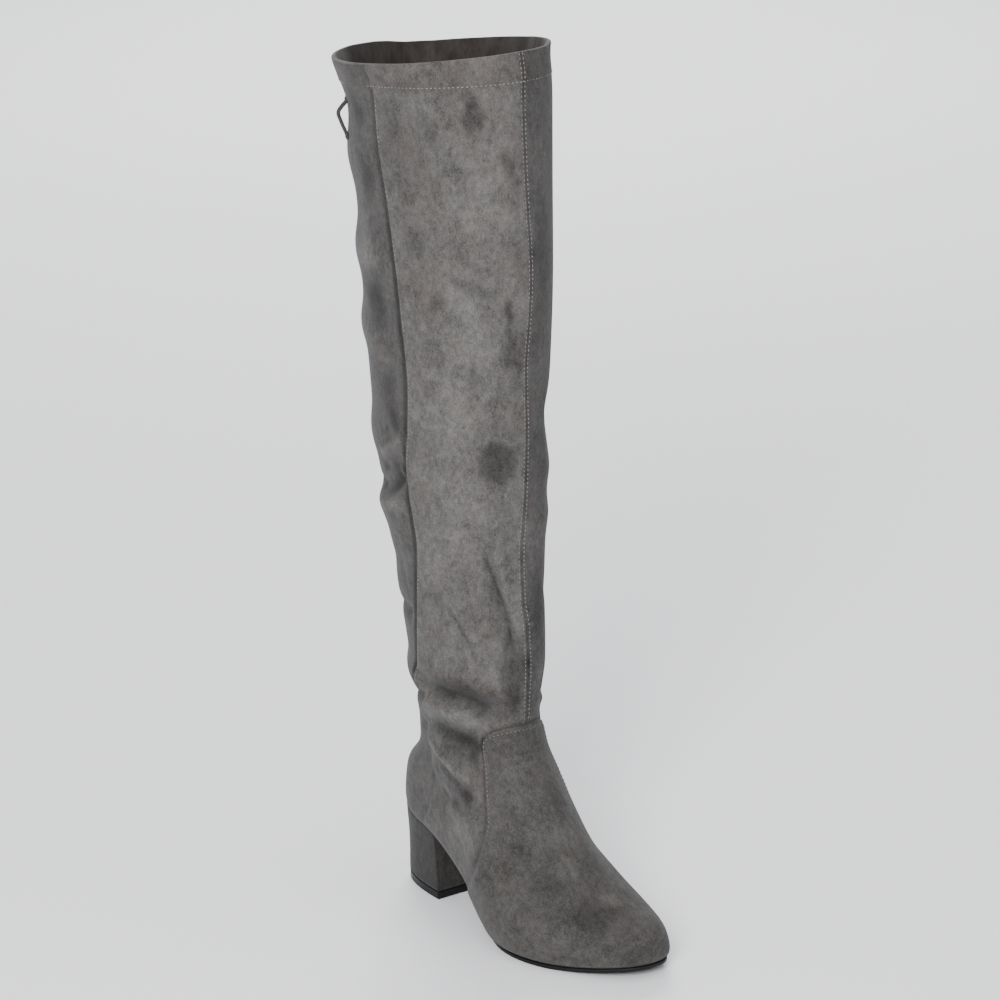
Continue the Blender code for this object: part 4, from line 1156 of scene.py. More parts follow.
# the upper's face raised by the thickness, which ends in a quarter circle at a free border and eases out
# at a flush one
def buildVamp():
    rows, columns = vamp["rows"], vamp["columns"]
    u, v = np.meshgrid(np.sin(np.linspace(-1, 1, columns) * math.pi / 2),
                       np.sin(np.linspace(0, 1, rows) * math.pi / 2))
    s, angle = vampPlace(u, v)
    base = facePoint(s, angle, vamp["baseGap"])
    outer, inner, head, foot = [np.linalg.norm(base - line, axis=-1)
                                for line in (base[:, :1], base[:, -1:], base[-1:], base[:1])]
    edge = np.minimum(np.minimum(outer, inner), np.minimum(head, foot * vamp["footRound"]))
    flush = 1 - ease(*vamp["flushFrom"], base[..., 2])
    share = edge / (vamp["edgeRound"] + (vamp["flushRound"] - vamp["edgeRound"]) * flush)
    roundOff = np.sqrt(1 - (1 - np.clip(share, 0, 1)) ** 2) * (1 - flush) + ease(0, 1, share) * flush
    seam = vamp["grooveDepth"] * bell(edge - vamp["stitchIn"], vamp["grooveWidth"]) * (1 - flush)
    raised = vamp["thickness"] * roundOff - seam + vamp["skin"]
    top = base + lastNormal(s, angle) * raised[..., None]
    total = rows * columns
    grid = np.arange(total).reshape(rows, columns)
    ring = np.concatenate([grid[0], grid[1:, -1], grid[-1, -2::-1], grid[-2:0:-1, 0]])
    ahead = np.roll(ring, -1)
    border = np.stack([ring + total, ahead + total, ahead, ring], -1)
    upper = gridFaces(rows, columns, wrapColumns=False)
    points = np.concatenate([top.reshape(-1, 3), base.reshape(-1, 3)])
    piece = makePiece("vampSuede", points, np.concatenate([upper, upper[:, ::-1] + total, border]), vampSuede)
    # the overlay's marks, with painted shade in the folds' troughs and painted light on their ridges
    napAndShade = marksFrom(vampMarks, s, angle) + panelTone["foldShading"] * foldLift(lastPoint(s, angle))
    for name, values in (("napAndShade", napAndShade), ("warm", marksFrom(vampWarm, s, angle))):
        addValues(piece, name, np.tile(values.ravel(), 2))
    settle(piece, "vamp_suede", "vamp")


buildVamp()

# Heel block, top piece and sole.
heel = {
    "breastX": 54.8,
    "length": 56.0,
    "halfWidth": 26.8,
    "power": 2.8,
    "liftHeight": 5.6,
    "basePoints": 200,
    "crownPoints": 100,
    "outlinePoints": 300,
    "rows": 40,
    "columns": 240,
    "cornerRound": 1.0,
    "edgeRound": 0.8,
    "roundShare": 0.8,
    "hollow": 0.7,
    "hollowPower": 1.5,
    "lidShare": 0.5,
    "crisp": 50,
    "liftInset": 0.15,
    # rings of the top piece as height and inset
    "liftRings": ((0.0, 0.5), (0.12, 0.18), (0.5, 0.0), (1.0, 0.0), (3.0, 0.05), (4.6, 0.05), (5.2, 0.0),
                  (5.5, 0.2), (5.6, 0.5)),
}
sole = {
    "inset": 0.2,
    "waistInset": 4.0,
    "insetFrom": (95.0, 140.0),
    "thickenFrom": 105.0,
    "waistThickness": 2.0,
    "underVamp": 1.3,        # how far it reaches out under the overlay
    "underVampFrom": (130.0, 185.0),
    "tipBack": 0.02,
    "tipFade": 12.0,
    "planPoints": 160,
    "columns": 320,
    "cornerRound": 0.5,
    # rings from the underside up, as a share of the thickness below the top and an inset
    "rings": ((1.0, 2.4), (1.0, 1.1), (0.95, 0.65), (0.86, 0.3), (0.7, 0.05), (0.2, 0.0), (0.06, 0.08),
              (0.0, 0.35), (0.0, 1.2)),
    "breastSlope": 0.3,
    "lidRings": (0.96, 0.04, 14),
    "crisp": 60,
}
edgePoints = 400
finer = 4                # outlines are softened on this many points for each one kept


# the upper's lower edge in plan, at x, on the outer (-1) or inner (1) side
def edgeAt(x, side):
    angle = np.linspace(0.0, math.pi, edgePoints)
    line = lastPoint(np.zeros(edgePoints), angle if side < 0 else fullTurn - angle)
    return np.interp(x, line[:, 0], line[:, 1])


# closed outline in even steps, its corners softened by a periodic bell of the given width
def softOutline(outline, count, width):
    loop = np.vstack([outline, outline[:1]])
    even = evenly(loop, finer * count + 1)[:-1]
    step = walkOf(loop)[-1] / (finer * count)
    reach = int(3 * width / step) + 1
    shifts = np.arange(-reach, reach + 1)
    kernel = bell(shifts * step, width)
    kernel = kernel / kernel.sum()
    soft = sum(weight * np.roll(even, shift, axis=0) for shift, weight in zip(shifts, kernel))
    return soft[::finer]


# outline moved inwards in plan, square to its run
def insetPlan(plan, distance):
    along = np.roll(plan, -1, axis=0) - np.roll(plan, 1, axis=0)
    inward = unit(np.stack([along[:, 1], -along[:, 0]], -1))
    facing = np.sign(((plan.mean(0) - plan) * inward).sum())
    return plan + inward * facing * np.reshape(distance, (-1, 1))


# the inset outline at one height
def levelRing(plan, inset, height):
    return np.column_stack([insetPlan(plan, inset), np.full(len(plan), height)])


# a ring drawn in towards a middle in plan by a share
def drawnIn(ring, middle, share):
    inner = ring.copy()
    inner[:, :2] = middle + (ring[:, :2] - middle) * share
    return inner


# lower outline of the heel: a blunt half oval closed by the straight breast
def heelBase():
    turn = np.linspace(0.0, math.pi, heel["basePoints"])
    x = heel["breastX"] - heel["length"] * np.sin(turn) ** (2 / heel["power"])
    y = -heel["halfWidth"] * np.sign(np.cos(turn)) * np.abs(np.cos(turn)) ** (2 / heel["power"])
    return np.stack([x, y], -1)


# upper outline of the heel: the upper's lower edge behind the breast
def heelCrown():
    x = np.linspace(heel["breastX"], sections["feather"][0], heel["crownPoints"])
    outer = np.stack([x, edgeAt(x, -1)], -1)
    inner = np.stack([x[-2::-1], edgeAt(x[-2::-1], 1)], -1)
    return np.vstack([outer, inner])


# rings from the lower to the upper outline, drawn in by a hollow sine and rounded at both ends
def buildHeel():
    base, crown = [softOutline(evenly(line, heel["outlinePoints"]), heel["columns"], heel["cornerRound"])
                   for line in (heelBase(), heelCrown())]
    floor = heel["liftHeight"] + boot["gap"]
    rings = []
    for part in np.linspace(0.0, 1.0, heel["rows"]):
        plan = base + (crown - base) * part
        hollow = heel["hollow"] * math.sin(math.pi * part) ** heel["hollowPower"]
        near = min(part, 1 - part) * (boot["seatBack"] - floor) / heel["edgeRound"]
        roundIn = heel["edgeRound"] * (1 - math.sqrt(1 - (1 - min(near, 1)) ** 2))
        top = soleLine(plan[:, 0]) - boot["gap"]
        ring = insetPlan(plan, hollow + roundIn * heel["roundShare"])
        rings.append(np.column_stack([ring, floor + (top - floor) * part]))
    low, high = [drawnIn(ring, ring[:, :2].mean(0), heel["lidShare"]) for ring in (rings[0], rings[-1])]
    high[:, 2] = soleLine(high[:, 0]) - boot["gap"]
    settle(stackPiece("heelSuede", [low] + rings + [high], heelSuede, heel["crisp"]), "heel_suede", "heel")
    lift = insetPlan(base, heel["liftInset"])
    rings = [levelRing(lift, inset, height) for height, inset in heel["liftRings"]]
    settle(stackPiece("liftRubber", rings, liftRubber, heel["crisp"]), "lift_rubber", "heel_lift")


buildHeel()


# thickness of the sole: thin under the waist, full from the ball on
def soleThickness(x):
    thin = sole["waistThickness"]
    return thin + (boot["soleTop"] - boot["gap"] - thin) * ease(sole["thickenFrom"], boot["ballFrom"], x)


# an outline of the sole at a share of its thickness below its top
def soleRing(plan, deep):
    x = plan[:, 0]
    return np.column_stack([plan[:, :2], soleLine(x) - boot["gap"] - soleThickness(x) * deep])


# a ring drawn in sideways to the middle of the foot by a share
def narrowed(ring, share):
    x, y = ring[:, 0], ring[:, 1]
    centre = (edgeAt(x, -1) + edgeAt(x, 1)) / 2
    return np.column_stack([x, centre + (y - centre) * share])


# the upper's lower edge ahead of the heel, drawn in under the waist and out under the overlay
def buildSole():
    start = heel["breastX"] + boot["gap"]
    tip = sections["feather"][2] - sole["tipBack"]
    x = start + (tip - start) * np.sin(np.linspace(0, 1, sole["planPoints"]) * math.pi / 2)
    inset = sole["waistInset"] + (sole["inset"] - sole["waistInset"]) * ease(*sole["insetFrom"], x)
    inset = inset * (1 - ease(tip - sole["tipFade"], tip, x))
    outer = np.stack([x, edgeAt(x, -1) + inset], -1)
    inner = np.stack([x, edgeAt(x, 1) - inset], -1)
    plan = softOutline(np.vstack([outer, inner[-2::-1]]), sole["columns"], sole["cornerRound"])
    plan[:, 0] = np.clip(plan[:, 0], start, tip - sole["inset"])
    plan = insetPlan(plan, -sole["underVamp"] * ease(*sole["underVampFrom"], plan[:, 0]))
    rings = []
    for deep, drawn in sole["rings"]:
        ring = insetPlan(plan, drawn)
        ring[:, 0] = np.clip(ring[:, 0], start + sole["breastSlope"] * drawn, None)
        rings.append(soleRing(ring, deep))
    shares = np.linspace(*sole["lidRings"])
    low, high = [[soleRing(narrowed(ring, share), deep) for share in shares]
                 for ring, deep in ((rings[0], 1.0), (rings[-1], 0.0))]
    piece = stackPiece("soleRubber", low[::-1] + rings + high, soleRubber, sole["crisp"])
    settle(piece, "sole_rubber", "outsole")


buildSole()
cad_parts["insole"].data.materials.clear()
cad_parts["insole"].data.materials.append(bootLining)

# Stitches: a short bead for each, sunk at both ends, joined into one mesh for each row.
stitch = {
    "sides": 6,
    "rings": (-1.0, -0.72, -0.28, 0.28, 0.72, 1.0),
    "taper": 0.92,
    "endSunk": 0.8,
    "length": 1.6,
    "radius": 0.34,
    "pitch": 3.0,
    "lift": 0.08,
    "step": 0.6,
    "buried": 0.16,      # how far the nap hides some of them, and the wavelengths of that
    "buriedWaves": (7.3, 2.9, 1),
    # first and last section of a row, and the points of its line
    "front": (7.85, 14.97, 500),
    "outer": (8.0, 14.2, 500),
    "inner": (10.25, 14.2, 400),
    "besideFront": (1.35, 1.95),     # above and below the calf
    "calf": (9.8, 11.6),
    "beside": 2.0,
    "vampSunk": 0.12,
    "outerSunk": 0.17,
    "outerWaves": (9.0, 4.1, 1),
    "hemSunk": 0.26,     # how far and where the nap hides the hem's most
    "hemSunkAt": (82.0, 200.0),
    "hemSunkWidth": 13.0,
    "hemAbove": 0.06,
    "hemPoints": 900,
}


# beads along a line of points, with the directions along and out at each: rings that narrow and sink
# towards both ends
def beads(middle, along, out, length, radius, lift):
    t = np.array(stitch["rings"])[:, None]
    sides = stitch["sides"]
    turn = np.arange(sides) * fullTurn / sides
    spread = np.sqrt(np.clip(1 - t ** 2 * stitch["taper"], 0, None)) * radius
    rise = lift - (lift + radius * stitch["endSunk"]) * t ** 4
    ring = np.broadcast_arrays(t * length / 2, spread * np.cos(turn), spread * np.sin(turn) + rise)
    ring = np.stack(ring, -1).reshape(-1, 3)
    points = middle[:, None] + ring @ np.stack([along, np.cross(out, along), out], 1)
    each = len(ring)
    first = np.arange(sides)
    fan = np.stack([np.zeros(sides - 2, int), first[2:], first[1:-1]], -1)
    triangles = np.concatenate([fan, fan[:, [0, 2, 1]] + each - sides])
    starts = np.arange(len(middle))[:, None, None] * each
    quads = gridFaces(len(t), sides) + starts
    return points.reshape(-1, 3), quads.reshape(-1, 4), (triangles + starts).reshape(-1, 3)


# a row of stitches along a path of (section, angle), at an even pitch
def stitchRow(s, angle, height=0.0, pitch=stitch["pitch"], length=stitch["length"], hidden=0.0):
    line = facePoint(s, angle, height)
    walk = walkOf(line)
    at = np.arange(0.5, walk[-1] / pitch) * pitch
    along = unit(atWalk(at + stitch["step"], walk, line) - atWalk(at - stitch["step"], walk, line))
    out = lastNormal(np.interp(at, walk, s), np.interp(at, walk, angle))
    out = unit(out - along * (out * along).sum(1, keepdims=True))
    long, short, phase = stitch["buriedWaves"]
    sunk = stitch["buried"] * (1 + np.sin(at / long) + np.sin(at / short + phase)) / 2
    sunk = sunk + np.interp(at, walk, np.broadcast_to(hidden, walk.shape))
    middle = atWalk(at, walk, line) - out * sunk[:, None]
    return beads(middle, along, out, length, stitch["radius"], stitch["lift"])


# rows of beads as one piece on the boot
def sew(name, rows, finish):
    settle(joinParts(name, rows, finish), None)


# a line beside a seam, at a distance in millimetres round the leg
def besideSeam(s, angle, distance):
    return s, angle + distance / roundScale(s, angle)


# rows at a distance beside each seam, round the hem, beside the zip and inside the overlay's border
def buildStitches():
    s = np.linspace(*stitch["front"])
    high, low = stitch["besideFront"]
    away = low + (high - low) * ease(*stitch["calf"], s)
    turn = seamAngle(seams["front"], s)
    sew("frontStitches", [stitchRow(*besideSeam(s, turn, side * away)) for side in (-1, 1)], threadCloth)
    s = np.linspace(*stitch["outer"])
    first, second, phase = stitch["outerWaves"]
    hidden = stitch["outerSunk"] * (1 + np.sin(s * first) * np.sin(s * second + phase))
    line = besideSeam(s, seamAngle(seams["outer"], s), stitch["beside"])
    sew("outerStitches", [stitchRow(*line, hidden=hidden)], threadCloth)
    s = np.linspace(*stitch["inner"])
    sew("innerStitches", [stitchRow(*besideSeam(s, innerAngle(s), -stitch["beside"]))], threadCloth)
    turn = np.linspace(0, fullTurn, stitch["hemPoints"])
    near = [bell(np.degrees(turn) - at, stitch["hemSunkWidth"]) for at in stitch["hemSunkAt"]]
    s = np.full(len(turn), boot["hemSection"] + stitch["hemAbove"])
    sew("hemStitches", [stitchRow(s, turn, hidden=stitch["hemSunk"] * sum(near))], hemCloth)
    s = np.linspace(zipper["lowEnd"], zipTop + zipper["stitchOver"], zipper["stitchPoints"])
    lines = [besideSeam(s, zipTurn(s), side * zipper["stitchAt"]) for side in (-1, 1)]
    rows = [stitchRow(*line, 0.0, zipper["stitchPitch"], zipper["stitchLength"]) for line in lines]
    sew("zipStitches", rows, zipThread)
    # the vamp's own row runs inside its border, from one side of the sole over the instep to the other
    count = vamp["stitchPoints"]
    foot, head = vamp["stitchRun"]
    inside = 1 - vamp["stitchIn"] / vamp["stitchSpan"]
    u = np.concatenate([np.full(count, -inside), np.linspace(-inside, inside, count), np.full(count, inside)])
    v = np.concatenate([np.linspace(foot, head, count), np.full(count, head), np.linspace(head, foot, count)])
    s, angle = vampPlace(u, v)
    kept = lastPoint(s, angle)[:, 2] > vamp["stitchFrom"]
    height = boot["gap"] + vamp["thickness"] - vamp["stitchSunk"]
    sew("vampStitches", [stitchRow(s[kept], angle[kept], height, hidden=stitch["vampSunk"])], zipThread)


buildStitches()


# The zip: two woven tapes, interlocked teeth, a slider and its pull.
# a ribbon along a path, its profile given as distances round and heights out
def ribbon(s, angle, profile):
    turn = angle[:, None] + profile[:, 0] / roundScale(s, angle)[:, None]
    grid = np.broadcast_to(s[:, None], turn.shape)
    return lastPoint(grid, turn) + lastNormal(grid, turn) * profile[:, 1:]


# the tape's ribs are a cosine across it, with a bell for each groove and each edge; the teeth are beads
# across it, half a pitch apart on the two sides, that meet at the middle
def buildZip():
    s = np.linspace(zipper["lowEnd"], zipTop - zipper["tapeEnd"], zipper["tapeRows"])
    angle = zipTurn(s)
    wide, top, count = zipper["tapeHalfWidth"], zipper["tapeTop"], zipper["tapeColumns"]
    across = np.linspace(-wide, wide, count)
    aside = np.abs(across)
    groove = bell(aside - zipper["grooveAt"], zipper["grooveWidth"])
    ribs = zipper["ribHeight"] * np.cos(across * fullTurn / zipper["ribPitch"]) * (aside > zipper["grooveAt"])
    height = top - zipper["ribSunk"] + ribs - zipper["grooveDepth"] * groove
    height = height - zipper["edgeDrop"] * bell(aside - wide, zipper["edgeWidth"])
    under = np.column_stack([across[::-1], np.full(count, zipper["tapeBase"])])
    rows = ribbon(s, angle, np.vstack([np.column_stack([across, height]), under]))
    columns = rows.shape[1]
    j = np.arange(count - 1)
    end = np.stack([j, j + 1, columns - 2 - j, columns - 1 - j], -1)
    faces = np.concatenate([gridFaces(len(s), columns), end[:, ::-1], end + (len(s) - 1) * columns])
    piece = makePiece("zipTape", rows.reshape(-1, 3), faces, zipCloth)
    # the grooves' bell, for their painted shade in the finish
    addValues(piece, "groove", np.broadcast_to(np.concatenate([groove, groove * 0]), rows.shape[:2]))
    settle(piece, "zip_tape", "zip_tape")
    line = lastPoint(s, angle) + lastNormal(s, angle) * (top + zipper["toothOut"])
    walk = walkOf(line)
    pitch = zipper["toothPitch"]
    rows = []
    for side, start in zip((-1, 1), zipper["toothStart"]):
        at = np.arange(start, walk[-1] / pitch - 1) * pitch
        out = lastNormal(np.interp(at, walk, s), np.interp(at, walk, angle))
        middle = atWalk(at, walk, line)
        along = unit(atWalk(at + zipper["toothStep"], walk, line) - middle)
        across = unit(np.cross(along, out))
        middle = middle + across * side * zipper["toothShift"]
        size = (zipper["toothLength"], zipper["toothWidth"] / 2, zipper["toothLift"])
        rows.append(beads(middle, across, out, *size))
    settle(joinParts("zipTeeth", rows, toothNylon), "zip_coil", "zip_coil")


buildZip()

# Slider and pull: sizes across the zip, along it (up) and out of the shaft.
slider = {
    "section": 9.955,
    "angle": 271.6,
    "frameStep": 0.05,
    "plan": ((0.0, 6.2), (2.6, 6.1), (4.0, 5.4), (4.3, 2.6), (3.6, -1.5), (3.0, -5.2), (2.2, -6.1),
             (0.0, -6.2)),
    "columns": 72,
    # under plate, neck and upper plate: inset, lower and upper face, and bevel
    "plates": ((0.0, 2.6, 3.4, 0.3), (1.1, 3.2, 4.8, 0.1), (0.0, 4.5, 5.4, 0.35)),
    "bridgeFrom": -3.4,
    "bridgeTo": 3.4,
    "bridgeFoot": 5.0,
    "bridgeTop": 8.4,
    "bridgePower": 5,
    "bridgeRings": 33,
    "bridgeSize": (0.9, 0.45, 16, 3.0),      # half width, half thickness, columns and bluntness
    "pivotUp": -1.2,
    "pivotOut": 6.7,
    "stopHalfLength": 1.76,
    "stopRings": 9,
    "stopSize": (0.8, 0.6, 14, 3.0),
    "stopOut": 1.7,
    "topStopUp": 9.0,
    "lowStopUp": 0.06,
    "crisp": 50,
}
pullTab = {
    "halfThickness": 0.55,
    "bevel": 0.25,
    "columns": 96,
    "ringHalfWidth": 2.05,       # middle of the two arms
    "ringEnd": -7.6,
    "ringPower": 0.5,
    "ringSteps": 96,
    "wire": 0.55,
    "wireSides": 12,
    "outline": ((0.0, -7.4), (1.3, -7.5), (2.3, -8.3), (2.25, -10.5), (2.35, -18.0), (2.45, -25.0),
                (2.1, -26.7), (1.1, -27.4), (0.0, -27.5)),
    "panel": ((0.75, 0.0), (1.0, 0.22), (1.6, 0.22)),        # inset and depth of the sunken field
}
plateShape = {
    "halfPoints": 120,
    "cornerRound": 0.35,
    "bevelShare": 0.3,
    "lidShare": 0.6,
}


# a point of the surface with its directions across, up along and out of the shaft
def shaftFrame(section, degrees):
    s, angle = np.float64(section), np.radians(np.float64(degrees))
    out = lastNormal(s, angle)
    up = lastPoint(s + slider["frameStep"], angle) - lastPoint(s - slider["frameStep"], angle)
    up = unit(up - out * (up @ out))
    return lastPoint(s, angle), np.stack([np.cross(up, out), up, out])


# the frame's origin plus each local size times its direction
def placed(where, local):
    origin, axes = where
    return origin + np.asarray(local) @ axes


# a right half outline, mirrored and smoothed, as a closed loop in even steps
def mirroredPlan(half, count):
    half = through(half, plateShape["halfPoints"])
    loop = np.vstack([half, (half * (-1, 1))[-2:0:-1]])
    return softOutline(loop, count, plateShape["cornerRound"])


# a plate with bevelled edges over a plan, as rings from its under middle to its top middle
def plateRings(plan, low, high, bevel):
    slight = bevel * plateShape["bevelShare"]
    profile = ((low, bevel), (low + slight, slight), (low + bevel, 0.0), (high - bevel, 0.0),
               (high - slight, slight), (high, bevel))
    rings = [levelRing(plan, inset, height) for height, inset in profile]
    under, over = [drawnIn(ring, plan.mean(0), plateShape["lidShare"]) for ring in (rings[0], rings[-1])]
    return [under] + rings + [over]


# a tube along a path, round or flat: two powers of cosine and sine, across and square to the path
def tubeRings(path, sideDirection, halfWide, halfThick, count, power):
    along = unit(np.gradient(path, axis=0))
    side = np.asarray(sideDirection, float)
    side = unit(np.broadcast_to(side, path.shape) - along * (along @ side)[:, None])
    turn = np.arange(count) * fullTurn / count
    wide, thick = [(np.sign(c) * np.abs(c) ** (2 / power) * half)[:, None]
                   for c, half in ((np.cos(turn), halfWide), (np.sin(turn), halfThick))]
    return path[:, None] + wide * side[:, None] + thick * np.cross(along, side)[:, None]


# two plates on a neck, a flat arch over them, and a stop at each end of the zip
def buildSlider():
    where = shaftFrame(slider["section"], slider["angle"])
    plan = mirroredPlan(slider["plan"], slider["columns"])
    stacks = [plateRings(insetPlan(plan, inset), *heights) for inset, *heights in slider["plates"]]
    count = slider["bridgeRings"]
    rise = 1 - np.abs(np.linspace(-1, 1, count)) ** slider["bridgePower"]
    foot, top = slider["bridgeFoot"], slider["bridgeTop"]
    arch = np.column_stack([np.zeros(count), np.linspace(slider["bridgeFrom"], slider["bridgeTo"], count),
                            foot + (top - foot) * rise])
    stacks.append(tubeRings(arch, (1, 0, 0), *slider["bridgeSize"]))
    parts = [stackPart(placed(where, rings)) for rings in stacks]
    settle(joinParts("sliderBody", parts, dullMetal, slider["crisp"]), "slider_metal", "zip_slider")
    count = slider["stopRings"]
    bar = slider["stopHalfLength"] * np.linspace(-1, 1, count)
    bar = np.column_stack([bar, np.zeros(count), np.full(count, slider["stopOut"])])
    stop = tubeRings(bar, (0, 1, 0), *slider["stopSize"])
    low = zipper["lowEnd"] + slider["lowStopUp"]
    foot = shaftFrame(low, np.degrees(zipTurn(low)))
    parts = [stackPart(placed(where, stop + (0, slider["topStopUp"], 0))), stackPart(placed(foot, stop))]
    settle(joinParts("zipStops", parts, dullMetal, slider["crisp"]), "slider_metal")


# a wire ring, a blunt oval by powers of cosine and sine, and a tab with a sunken field
def buildPull():
    where = shaftFrame(slider["section"], slider["angle"])
    up, out = slider["pivotUp"], slider["pivotOut"]
    count, sides = pullTab["ringSteps"], pullTab["wireSides"]
    t = np.linspace(0, fullTurn, count + 1)
    c, d = [np.sign(v) * np.abs(v) ** pullTab["ringPower"] for v in (np.cos(t), np.sin(t))]
    tall = (up - pullTab["ringEnd"]) / 2
    ring = np.column_stack([pullTab["ringHalfWidth"] * c, up - tall + tall * d, np.full(count + 1, out)])
    along = unit(np.gradient(np.vstack([ring[-2], ring, ring[1]]), axis=0)[1:-1])
    square = np.array((0, 0, 1.0))
    turn = (np.arange(sides) * fullTurn / sides)[:, None]
    around = np.cos(turn) * np.cross(along, square)[:-1, None] + np.sin(turn) * square
    points = placed(where, ring[:-1, None] + pullTab["wire"] * around).reshape(-1, 3)
    wire = (points, *turnedOut(points, gridFaces(count, sides, wrapRows=True), noTriangles))
    plan = mirroredPlan(pullTab["outline"], pullTab["columns"])
    low, high = out - pullTab["halfThickness"], out + pullTab["halfThickness"]
    tab = plateRings(plan, low, high, pullTab["bevel"])[:-1]
    tab = tab + [levelRing(plan, inset, high - sunk) for inset, sunk in pullTab["panel"]]
    piece = joinParts("pullTab", [wire, stackPart(placed(where, tab))], dullMetal, slider["crisp"])
    settle(piece, "pull_metal", "zip_pull", body="pull")


buildSlider()
buildPull()

# Back loop: a narrow sewn strip, given up along the shaft and out of it.
backLoop = {
    "section": 13.59,
    "angle": 57.0,
    "lift": 2.5,
    "line": ((13.5, -1.6), (10.8, -0.9), (9.0, 0.9), (6.8, 3.3), (4.6, 5.0), (2.6, 5.3), (0.2, 4.8),
             (-4.0, 3.7), (-8.2, 2.4), (-11.2, 1.5), (-14.5, 1.0)),
    "linePoints": 120,
    "steps": 80,
    "size": (2.1, 1.25, 24, 2.8),        # half width, half thickness, columns and bluntness
    "stitchUp": (12.0, -13.0),
    "stitchAcross": (-1.1, 0.0, 1.1),
    "stitchSize": (1.8, 0.25, 0.1),
    "stitchOver": 1.15,
}


# a flat tube along the line, with three stitches at each end
def buildBackLoop():
    origin, axes = shaftFrame(backLoop["section"], backLoop["angle"])
    where = (origin + axes[2] * backLoop["lift"], axes)
    line = evenly(through(backLoop["line"], backLoop["linePoints"]), backLoop["steps"])
    rings = tubeRings(np.column_stack([np.zeros(len(line)), line]), (1, 0, 0), *backLoop["size"])
    settle(stackPiece("loopStrip", placed(where, rings), loopCloth), "loop_cloth", "back_loop")
    rows = []
    across = np.array(backLoop["stitchAcross"])
    along, out = [np.tile(axes[k], (len(across), 1)) for k in (1, 2)]
    for up in backLoop["stitchUp"]:
        over = np.interp(up, line[::-1, 0], line[::-1, 1]) + backLoop["stitchOver"]
        middle = np.column_stack(np.broadcast_arrays(across, up, over))
        rows.append(beads(placed(where, middle), along, out, *backLoop["stitchSize"]))
    sew("loopStitches", rows, zipThread)


buildBackLoop()
print("pieces made")

# Studio: a pale floor, a broad key from the camera's side, a softer fill and a pale surround.
studio = {
    "floorHalf": 9.0,
    "floorDrop": 0.0003,
    "floorSteps": 9,
    "floorColour": colour(0.96, 0.967, 0.985),
    "floorDarker": 0.97,
    "floorCloud": (1.3, 2.0, 0.55),
    "floorShader": {"Roughness": 0.75, "Specular_IOR_Level": 0.25},
    "surround": colour(0.88, 0.90, 0.93),
    "surroundStrength": 0.62,
    # azimuth, elevation, distance, size, power, and the point it is aimed at
    "lights": {
        "key": (42.0, 27.0, 2.8, 1.1, 92.0, (0, 0, 0.27)),
        "floorBack": (235.0, 62.0, 3.2, 2.6, 150.0, (-1.6, 1.1, 0)),
        "floorNear": (90.0, 80.0, 2.6, 1.6, 14.0, (0, 0, 0)),
    },
}
# Camera: where it stands round the boot, and where the point it is measured from lies in the picture.
camera = {
    "azimuth": 55.86,
    "elevation": 18.53,
    "distance": 2404.14,
    "target": (60.0, 0.0, 270.0),
    "targetPixel": (467.2, 529.12),
    "focalPixels": 3534.64,
    "picture": 1000.0,
    "sensor": 36.0,
    "roll": -0.9,
    "turns": 40,
    "clipEnd": 100.0,
}


# the way from the boot to a point round it: sine and cosine of the azimuth, times the elevation's cosine
def direction(azimuth, elevation):
    a, e = math.radians(azimuth), math.radians(elevation)
    return np.array([math.sin(a) * math.cos(e), -math.cos(a) * math.cos(e), math.sin(e)])


# an item's axes and place as its matrix
def pointAt(item, place, right, up, forward):
    axes = np.stack([right, up, -forward, place], 1)
    item.matrix_world = Matrix(np.vstack([axes, (0, 0, 0, 1)]).tolist())


# right and up of a level view along a direction
def levelAxes(forward):
    right = unit(np.cross(forward, (0.0, 0.0, 1.0)))
    return right, np.cross(right, forward)


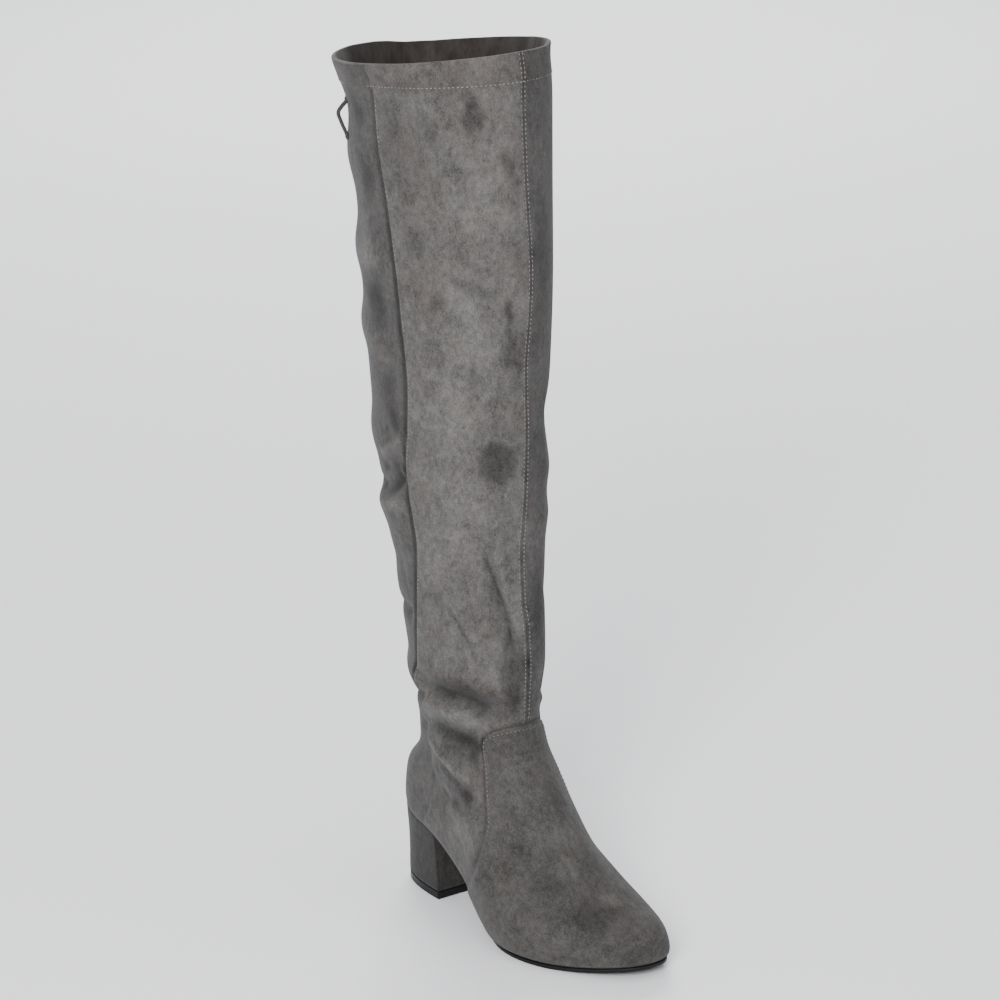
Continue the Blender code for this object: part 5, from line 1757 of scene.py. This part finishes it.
# the floor just under the boot, the surround, and each light aimed from its place round the boot
def buildStudio():
    half, drop = studio["floorHalf"] / metre, -studio["floorDrop"] / metre
    count = studio["floorSteps"]
    x, y = np.meshgrid(*[np.linspace(-half, half, count)] * 2)
    points = np.stack([x.ravel(), y.ravel(), np.full(x.size, drop)], -1)
    paper = Finish("paleFloor", **studio["floorShader"])
    cloud = paper.noise(paper.place(), *studio["floorCloud"])
    darker = colour(*[v * studio["floorDarker"] for v in studio["floorColour"][:3]])
    paper.feed(Base_Color=paper.mix(cloud, darker, studio["floorColour"]))
    faces = gridFaces(count, count, wrapColumns=False)
    makePiece("floor", points, faces, paper.material, closed=False)
    world = bpy.data.worlds.new("surround")
    world.use_nodes = True
    background = world.node_tree.nodes["Background"].inputs
    background["Color"].default_value = studio["surround"]
    background["Strength"].default_value = studio["surroundStrength"]
    bpy.context.scene.world = world
    for name, (azimuth, elevation, distance, size, power, aim) in studio["lights"].items():
        light = bpy.data.lights.new(name, "AREA")
        light.shape = "DISK"
        light.size = size
        light.energy = power
        item = bpy.data.objects.new(name, light)
        bpy.context.scene.collection.objects.link(item)
        away = direction(azimuth, elevation)
        pointAt(item, aim + away * distance, *levelAxes(-away), -away)


# the camera turns, in small steps, until its target falls on its pixel
def buildCamera():
    aim = toRow(np.array(camera["target"]))
    away = direction(camera["azimuth"], camera["elevation"])
    place = aim + away * camera["distance"] * metre
    roll = math.radians(camera["roll"])
    middle = camera["picture"] / 2
    wanted = [(pixel - middle) / camera["focalPixels"] for pixel in camera["targetPixel"]]
    forward = -away
    for _ in range(camera["turns"]):
        level, upright = levelAxes(forward)
        right = level * math.cos(roll) + upright * math.sin(roll)
        up = upright * math.cos(roll) - level * math.sin(roll)
        seen = aim - place
        deep = seen @ forward
        forward = forward + right * (seen @ right / deep - wanted[0]) + up * (seen @ up / deep + wanted[1])
        forward = unit(forward)
    lens = bpy.data.cameras.new("camera")
    lens.sensor_width = camera["sensor"]
    lens.lens = camera["focalPixels"] / camera["picture"] * camera["sensor"]
    lens.clip_end = camera["clipEnd"]
    item = bpy.data.objects.new("camera", lens)
    bpy.context.scene.collection.objects.link(item)
    pointAt(item, place, right, up, forward)
    bpy.context.scene.camera = item


buildStudio()
buildCamera()
print("studio and camera set")
